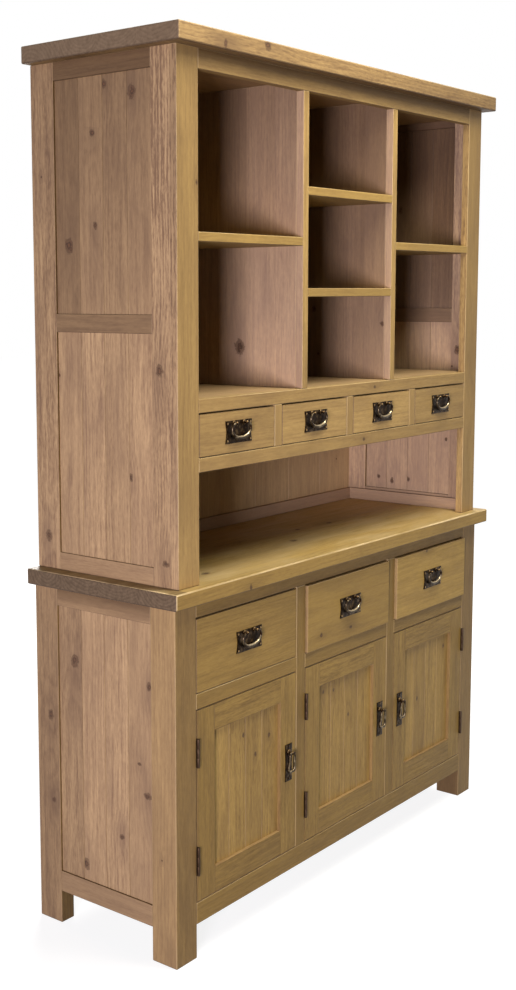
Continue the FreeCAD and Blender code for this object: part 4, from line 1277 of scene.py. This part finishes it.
def bent_wire(points, closed, lean, name):
    """Wire along a smooth curve whose points are x, z and radius, made a mesh.

    Lean is how far it comes nearer to the plate for each millimetre that it hangs down.
    """
    bpy.ops.object.select_all(action="DESELECT")
    bpy.ops.curve.primitive_bezier_curve_add()
    curve = bpy.context.object
    spline = curve.data.splines[0]
    spline.bezier_points.add(len(points) - 2)
    for point, (x, z, radius) in zip(spline.bezier_points, points):
        point.co = (x * MM, -lean * z * MM, z * MM)
        point.radius = radius
        point.handle_left_type = point.handle_right_type = "AUTO"
    spline.use_cyclic_u = closed
    curve.data.bevel_depth = MM
    curve.data.bevel_resolution = 4
    curve.data.resolution_u = 8
    curve.data.use_fill_caps = True
    curve.location = (0, 0, 0)
    bpy.ops.object.convert(target="MESH")
    piece = bpy.context.object
    piece.name = name
    apply_all()
    bpy.ops.object.shade_smooth()
    return piece


print("plates on a grid of", GRID_STEP, "mm")

# %% [markdown]
# One plate and one bail are modelled round the plate's middle and copied to every drawer, each copy
# with its own mesh. The metal is brighter where hands rub it. Some of that follows the photograph's
# highlights, on the left of the bails and rings, and is painted on the metal, not reflected.

# %% Drawer fittings
PLATE_W, PLATE_H, PLATE_T = 95, 50, 2
NAIL_X, NAIL_Z = 41.5, 19
EYE_X, EYE_Z, PIVOT_Y = 18.5, 19, -10.5
BOSS_LIFT = 0.5


def eye(x, z, pivot_y, boss, post, knob):
    """Boss, post and knob of an eye, from their radii. Boss and knob also have a squash."""
    made = [ball((x, -PLATE_T - BOSS_LIFT, z), *boss)]
    made.append(rod((x, -PLATE_T, z), (x, pivot_y, z), post))
    made.append(ball((x, pivot_y, z), *knob))
    return made


def polish(piece, rule):
    """Makes a fitting bright by a rule of place, in mm, and normal, for rubbing and painted
    highlights.
    """
    rub = piece.data.attributes.new("rub", "FLOAT", "POINT")
    for point, value in zip(piece.data.vertices, rub.data):
        value.value = min(1, max(0, rule(point.co / MM, point.normal)))


def plate_glint(place, normal):
    """Upper sides of what stands off the plate, and the nails, made bright, partly rubbing and
    partly painted highlights.
    """
    return 0.8 * (place.y < -3) * max(normal.z, abs(place.x) > 36)


def bail_glint(place, normal):
    """Bright upper side of the low part, partly rubbing and partly a painted highlight, and a
    painted glint on the left.
    """
    low = min(1, max(0, (-12 - place.z) / 9))
    return max(low * (1.5 * normal.z - 0.3), (-0.25 * normal.x - 0.12) * (place.x < 0))


def copied(source, node_name, place, material, body):
    """Copy of a bronze fitting with its own mesh, moved to its place and dressed."""
    piece = source.copy()
    piece.data = source.data.copy()
    piece.data.transform(Matrix.Translation(Vector(place) * MM))
    piece.name = "metal_" + node_name
    bpy.context.collection.objects.link(piece)
    dress(piece, material, body, [node_name])


parts = [beaten_plate(PLATE_W, PLATE_H, PLATE_T, waist=0.08)]
for x in (-NAIL_X, NAIL_X):
    for z in (-NAIL_Z, NAIL_Z):
        parts.append(ball((x, -PLATE_T, z), 3.0, 0.5))
for x in (-EYE_X, EYE_X):
    parts += eye(x, EYE_Z, PIVOT_Y, boss=(6.0, 0.4), post=2.8, knob=(4.0, 0.9))
plate_model = join(parts, "drawer_plate_model")
polish(plate_model, plate_glint)

right_half = [(17, 0, 1.7), (23, 0.3, 1.8), (29.5, -3.5, 2.2), (33.3, -12, 2.7)]
right_half += [(29, -23, 3.4), (16, -30.5, 4.0)]
bail_points = [(-x, z, r) for x, z, r in right_half] + [(0, -32.5, 4.2)] + right_half[::-1]
bail_model = bent_wire(bail_points, False, 0.1, "bail_model")
polish(bail_model, bail_glint)

places = [("small_drawer", i + 1, bay, small_z, 0) for i, bay in enumerate(small_bays)]
places += [("base_drawer", i + 1, bay, base_z, AJAR[i]) for i, bay in enumerate(base_bays)]
for kind, number, bay, z, ajar in places:
    middle = ((bay[0] + bay[1]) / 2, FRONT - ajar, (z[0] + FACE_LOW + z[1] - FACE_HIGH) / 2)
    pivot = (middle[0], middle[1] + PIVOT_Y, middle[2] + EYE_Z)
    copied(plate_model, f"{kind}_plate_{number}", middle, aged_bronze, f"{kind}_{number}")
    bail = f"{kind}_bail_{number}"
    copied(bail_model, bail, pivot, rubbed_bronze, bail)

# %% [markdown]
# ## Pulls and hinges of the doors
# A narrow plate with a drop ring hangs on the free stile of each door. It is made as the drawer
# fittings are, with a closed wire for the ring.

# %% Door pulls
PULL_W, PULL_H, PULL_Z = 27, 91, 350
PULL_NAIL_Z = 39.5
DROP_PIVOT_Y, DROP_PIVOT_Z = -12.5, 25.5


def pull_glint(place, normal):
    """Upper sides of what stands off the plate, made bright, partly rubbing and partly painted
    highlights.
    """
    return 0.6 * (place.y < -3) * normal.z


def drop_glint(place, normal):
    """Painted bright line along the left front of the bars, and along the top of the lowest."""
    line = (-0.7 * normal.x - 0.7 * normal.y - 0.94) * 12
    return max(0.6 * line, (1.4 * normal.z - 0.6) * (place.z < -20))


parts = [beaten_plate(PULL_W, PULL_H, PLATE_T, waist=0.12)]
for z in (-PULL_NAIL_Z, PULL_NAIL_Z):
    parts.append(ball((0, -PLATE_T, z), 3.2, 0.5))
parts += eye(0, DROP_PIVOT_Z, DROP_PIVOT_Y, boss=(7.5, 0.5), post=3.2, knob=(4.0, 1.0))
pull_model = join(parts, "pull_plate_model")
polish(pull_model, pull_glint)

drop_points = [(0, 0, 2.0), (6.5, -0.4, 2.4), (8.8, -3.5, 2.8), (10.2, -24, 3.0)]
drop_points += [(11.6, -42, 3.1), (9.5, -45.4, 3.2), (0, -45.8, 3.3)]
drop_points += [(-x, z, r) for x, z, r in drop_points[5:0:-1]]
drop_model = bent_wire(drop_points, True, 0.06, "drop_model")
polish(drop_model, drop_glint)

print("drop ring", len(drop_model.data.polygons), "faces")

# %% [markdown]
# Two butt hinges carry each door. Their round knuckles stand in front of the gap, the middle one on
# the door and the outer two on the frame, and a thin leaf lies in the gap on each side of the pin.

# %% Hinges
HINGE_LENGTH, HINGE_INSET, KNUCKLE = 65, 62, 3.5
KNUCKLE_OFF, KNUCKLE_GAP = 0.4, 0.3
LEAF_NEAR, LEAF_FAR, LEAF_DEEP = 0.3, 1.3, 16
hinge_y = FRONT - KNUCKLE - KNUCKLE_OFF


def knuckle(x, z_low, z_high):
    """Round part of a hinge, with a small gap above it."""
    return rod((x, hinge_y, z_low), (x, hinge_y, z_high - KNUCKLE_GAP), KNUCKLE)


def leaf(x, side, z_low):
    """Leaf in the gap beside the door, on one side of the pin."""
    x_low, x_high = sorted((x + side * LEAF_NEAR, x + side * LEAF_FAR))
    bpy.ops.object.select_all(action="DESELECT")
    start_cube((x_low, hinge_y, z_low), (x_high, FRONT + LEAF_DEEP, z_low + HINGE_LENGTH))
    apply_all()
    ease_edges(bpy.context.object, 0.2, 1)
    return bpy.context.object


def hinge_piece(parts, node_name, body):
    """Joins knuckles and leaves to one dressed piece."""
    piece = join(parts, "metal_" + node_name)
    dress(piece, dark_iron, body, [node_name])


print("hinges of", HINGE_LENGTH, "mm")

# %% [markdown]
# All that hangs on a door is put there in one loop: the pull and the drop ring on the middle of the
# free stile, and the hinges on the other side. The models are then removed, because only their
# copies stand for CAD nodes.

# %% Pulls and hinges on the doors
third = HINGE_LENGTH / 3
frame_parts = []
for i, (bay, extent, side) in enumerate(zip(base_bays, door_extents, HINGE_SIDES)):
    body, drop = f"door_{i + 1}", f"door_drop_{i + 1}"
    middle = extent[1] - DOOR_STILE / 2 if side < 0 else extent[0] + DOOR_STILE / 2
    place = (middle, FRONT, PULL_Z)
    pivot = (middle, FRONT + DROP_PIVOT_Y, PULL_Z + DROP_PIVOT_Z)
    copied(pull_model, f"door_pull_plate_{i + 1}", place, aged_bronze, body)
    copied(drop_model, drop, pivot, rubbed_bronze, drop)
    axis = (bay[0] if side < 0 else bay[1]) - side * HINGE_GAP / 2
    door_parts = []
    for low in (door_z[0] + HINGE_INSET, door_z[1] - HINGE_INSET - HINGE_LENGTH):
        frame_parts.append(knuckle(axis, low, low + third))
        frame_parts.append(knuckle(axis, low + 2 * third, low + HINGE_LENGTH))
        frame_parts.append(leaf(axis, side, low))
        door_parts.append(knuckle(axis, low + third, low + 2 * third))
        door_parts.append(leaf(axis, -side, low))
    hinge_piece(door_parts, f"door_hinge_leaves_{i + 1}", body)
hinge_piece(frame_parts, "frame_hinge_leaves", "carcass")
for model in (plate_model, bail_model, pull_model, drop_model):
    bpy.data.objects.remove(model)

# %% [markdown]
# The screws that fix the hutch to the worktop hardly show, and their CAD shape is right. So the CAD
# node stays and only gets a better material.

# %% Fixing screws
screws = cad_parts["hutch_fixing_screws"]
screws.data.materials.clear()
screws.data.materials.append(screw_steel)
print("screws keep their shape and get", screw_steel.name)

# %% [markdown]
# ## Floor, light and camera
# The object stands on a plain white floor. A photograph cut out on white shows no horizon, so floor
# and world are pure white to the eye, and in mirrors too, but give the object only a little light.
# The places of floor, lamps and camera are in metres.


# %% Floor and world
def seen_by_eye(tree):
    """One for rays from the camera, mirrored ones and those that pass through glass, or else 0."""
    light_path = node(tree, "LightPath")
    seen = light_path.outputs["Is Camera Ray"]
    for kind in ("Is Glossy Ray", "Is Transmission Ray"):
        seen = node(tree, "Math", [seen, light_path.outputs[kind]], operation="MAXIMUM")
    return seen


FLOOR_SIZE = 40
AMBIENT = 0.02
bpy.ops.object.select_all(action="DESELECT")
bpy.ops.mesh.primitive_plane_add(size=FLOOR_SIZE)
floor = bpy.context.object
floor.name = "floor"
material, tree = new_material("white_floor")
place = node(tree, "TexCoord").outputs["Object"]
distance = node(tree, "VectorMath", [place], operation="LENGTH").outputs["Value"]
white = node(tree, "MapRange", [distance, 0.8, 1.9, 0.86, 1.0], interpolation_type="SMOOTHSTEP")
glow = node(tree, "Math", [seen_by_eye(tree), white], operation="MULTIPLY")
paint = node(tree, "BsdfDiffuse", {"Color": linear("#8C8B88")})
light = node(tree, "Emission", {"Color": (1, 1, 1, 1), "Strength": glow})
both = node(tree, "AddShader", [paint, light])
node(tree, "OutputMaterial", [both])
floor.data.materials.append(material)

world = bpy.data.worlds.new("studio")
bpy.context.scene.world = world
world.use_nodes = True
tree = world.node_tree
tree.nodes.clear()
strength = node(tree, "MapRange", [seen_by_eye(tree), 0.0, 1.0, AMBIENT, 1.0])
sky = node(tree, "Background", {"Color": (1, 1, 1, 1), "Strength": strength})
node(tree, "OutputWorld", [sky])
print("floor", floor.name, "world", world.name)

# %% [markdown]
# A lamp on the left near the camera lights the side and looks into the bays. A lamp above the front
# lights the fronts and draws the shadows under the cornice and the worktop, and one at the back is
# for views from there. One large soft lamp would fill those shadows, so the lamps are small.


# %% Lamps
def lamp(name, place, target, size, power, colour):
    """Square area lamp that looks at a point."""
    bpy.ops.object.light_add(type="AREA", location=place)
    made = bpy.context.object
    made.name = name
    made.data.size = size
    made.data.energy = power
    made.data.color = linear(colour)[:3]
    made.rotation_euler = (Vector(target) - Vector(place)).to_track_quat("-Z", "Y").to_euler()
    print(name, power, "W")


lamp("side_lamp", (-4.02, -1.9, 0.92), (-0.3, -0.1, 1.1), 0.85, 198, "#EEE8FF")
lamp("front_lamp", (-0.1, -1.5, 2.95), (0.0, -0.2, 1.2), 0.45, 17, "#FFFCF2")
lamp("top_lamp", (-0.1, -0.85, 3.2), (0.0, -0.2, 1.0), 0.8, 52, "#FFFCF2")
lamp("back_lamp", (2.4, 2.6, 2.4), (0.2, 0.1, 1.0), 1.2, 150, "#FFFFFF")

# %% [markdown]
# The camera repeats the photograph's place, direction and lens, which were solved from straight
# edges of the object. The centre of the lens is not the centre of the picture, so the camera is
# shifted.

# %% Camera
# Picture size, focal length and lens centre in pixels, angles in degrees
PHOTO_W, PHOTO_H = 516, 990
FOCAL, CENTRE_X, CENTRE_Y = 1310.53, 192.02, 450.54
YAW, PITCH, ROLL = 50.72, -6.82, -0.22
CAMERA_PLACE = (-2.73838, -1.9305, 1.46137)
SENSOR = 36
bpy.ops.object.camera_add()
camera = bpy.context.object
camera.data.sensor_width = SENSOR
camera.data.lens = FOCAL / PHOTO_H * SENSOR
camera.data.shift_x = (PHOTO_W / 2 - CENTRE_X) / PHOTO_H
camera.data.shift_y = -(PHOTO_H / 2 - CENTRE_Y) / PHOTO_H
turn = Matrix.Translation(CAMERA_PLACE)
for angle, axis in ((-YAW, "Z"), (90 + PITCH, "X"), (ROLL, "Z")):
    turn = turn @ Matrix.Rotation(math.radians(angle), 4, axis)
camera.matrix_world = turn
bpy.context.scene.camera = camera
bpy.context.scene.view_settings.view_transform = "Standard"
print("camera lens", round(camera.data.lens, 2))
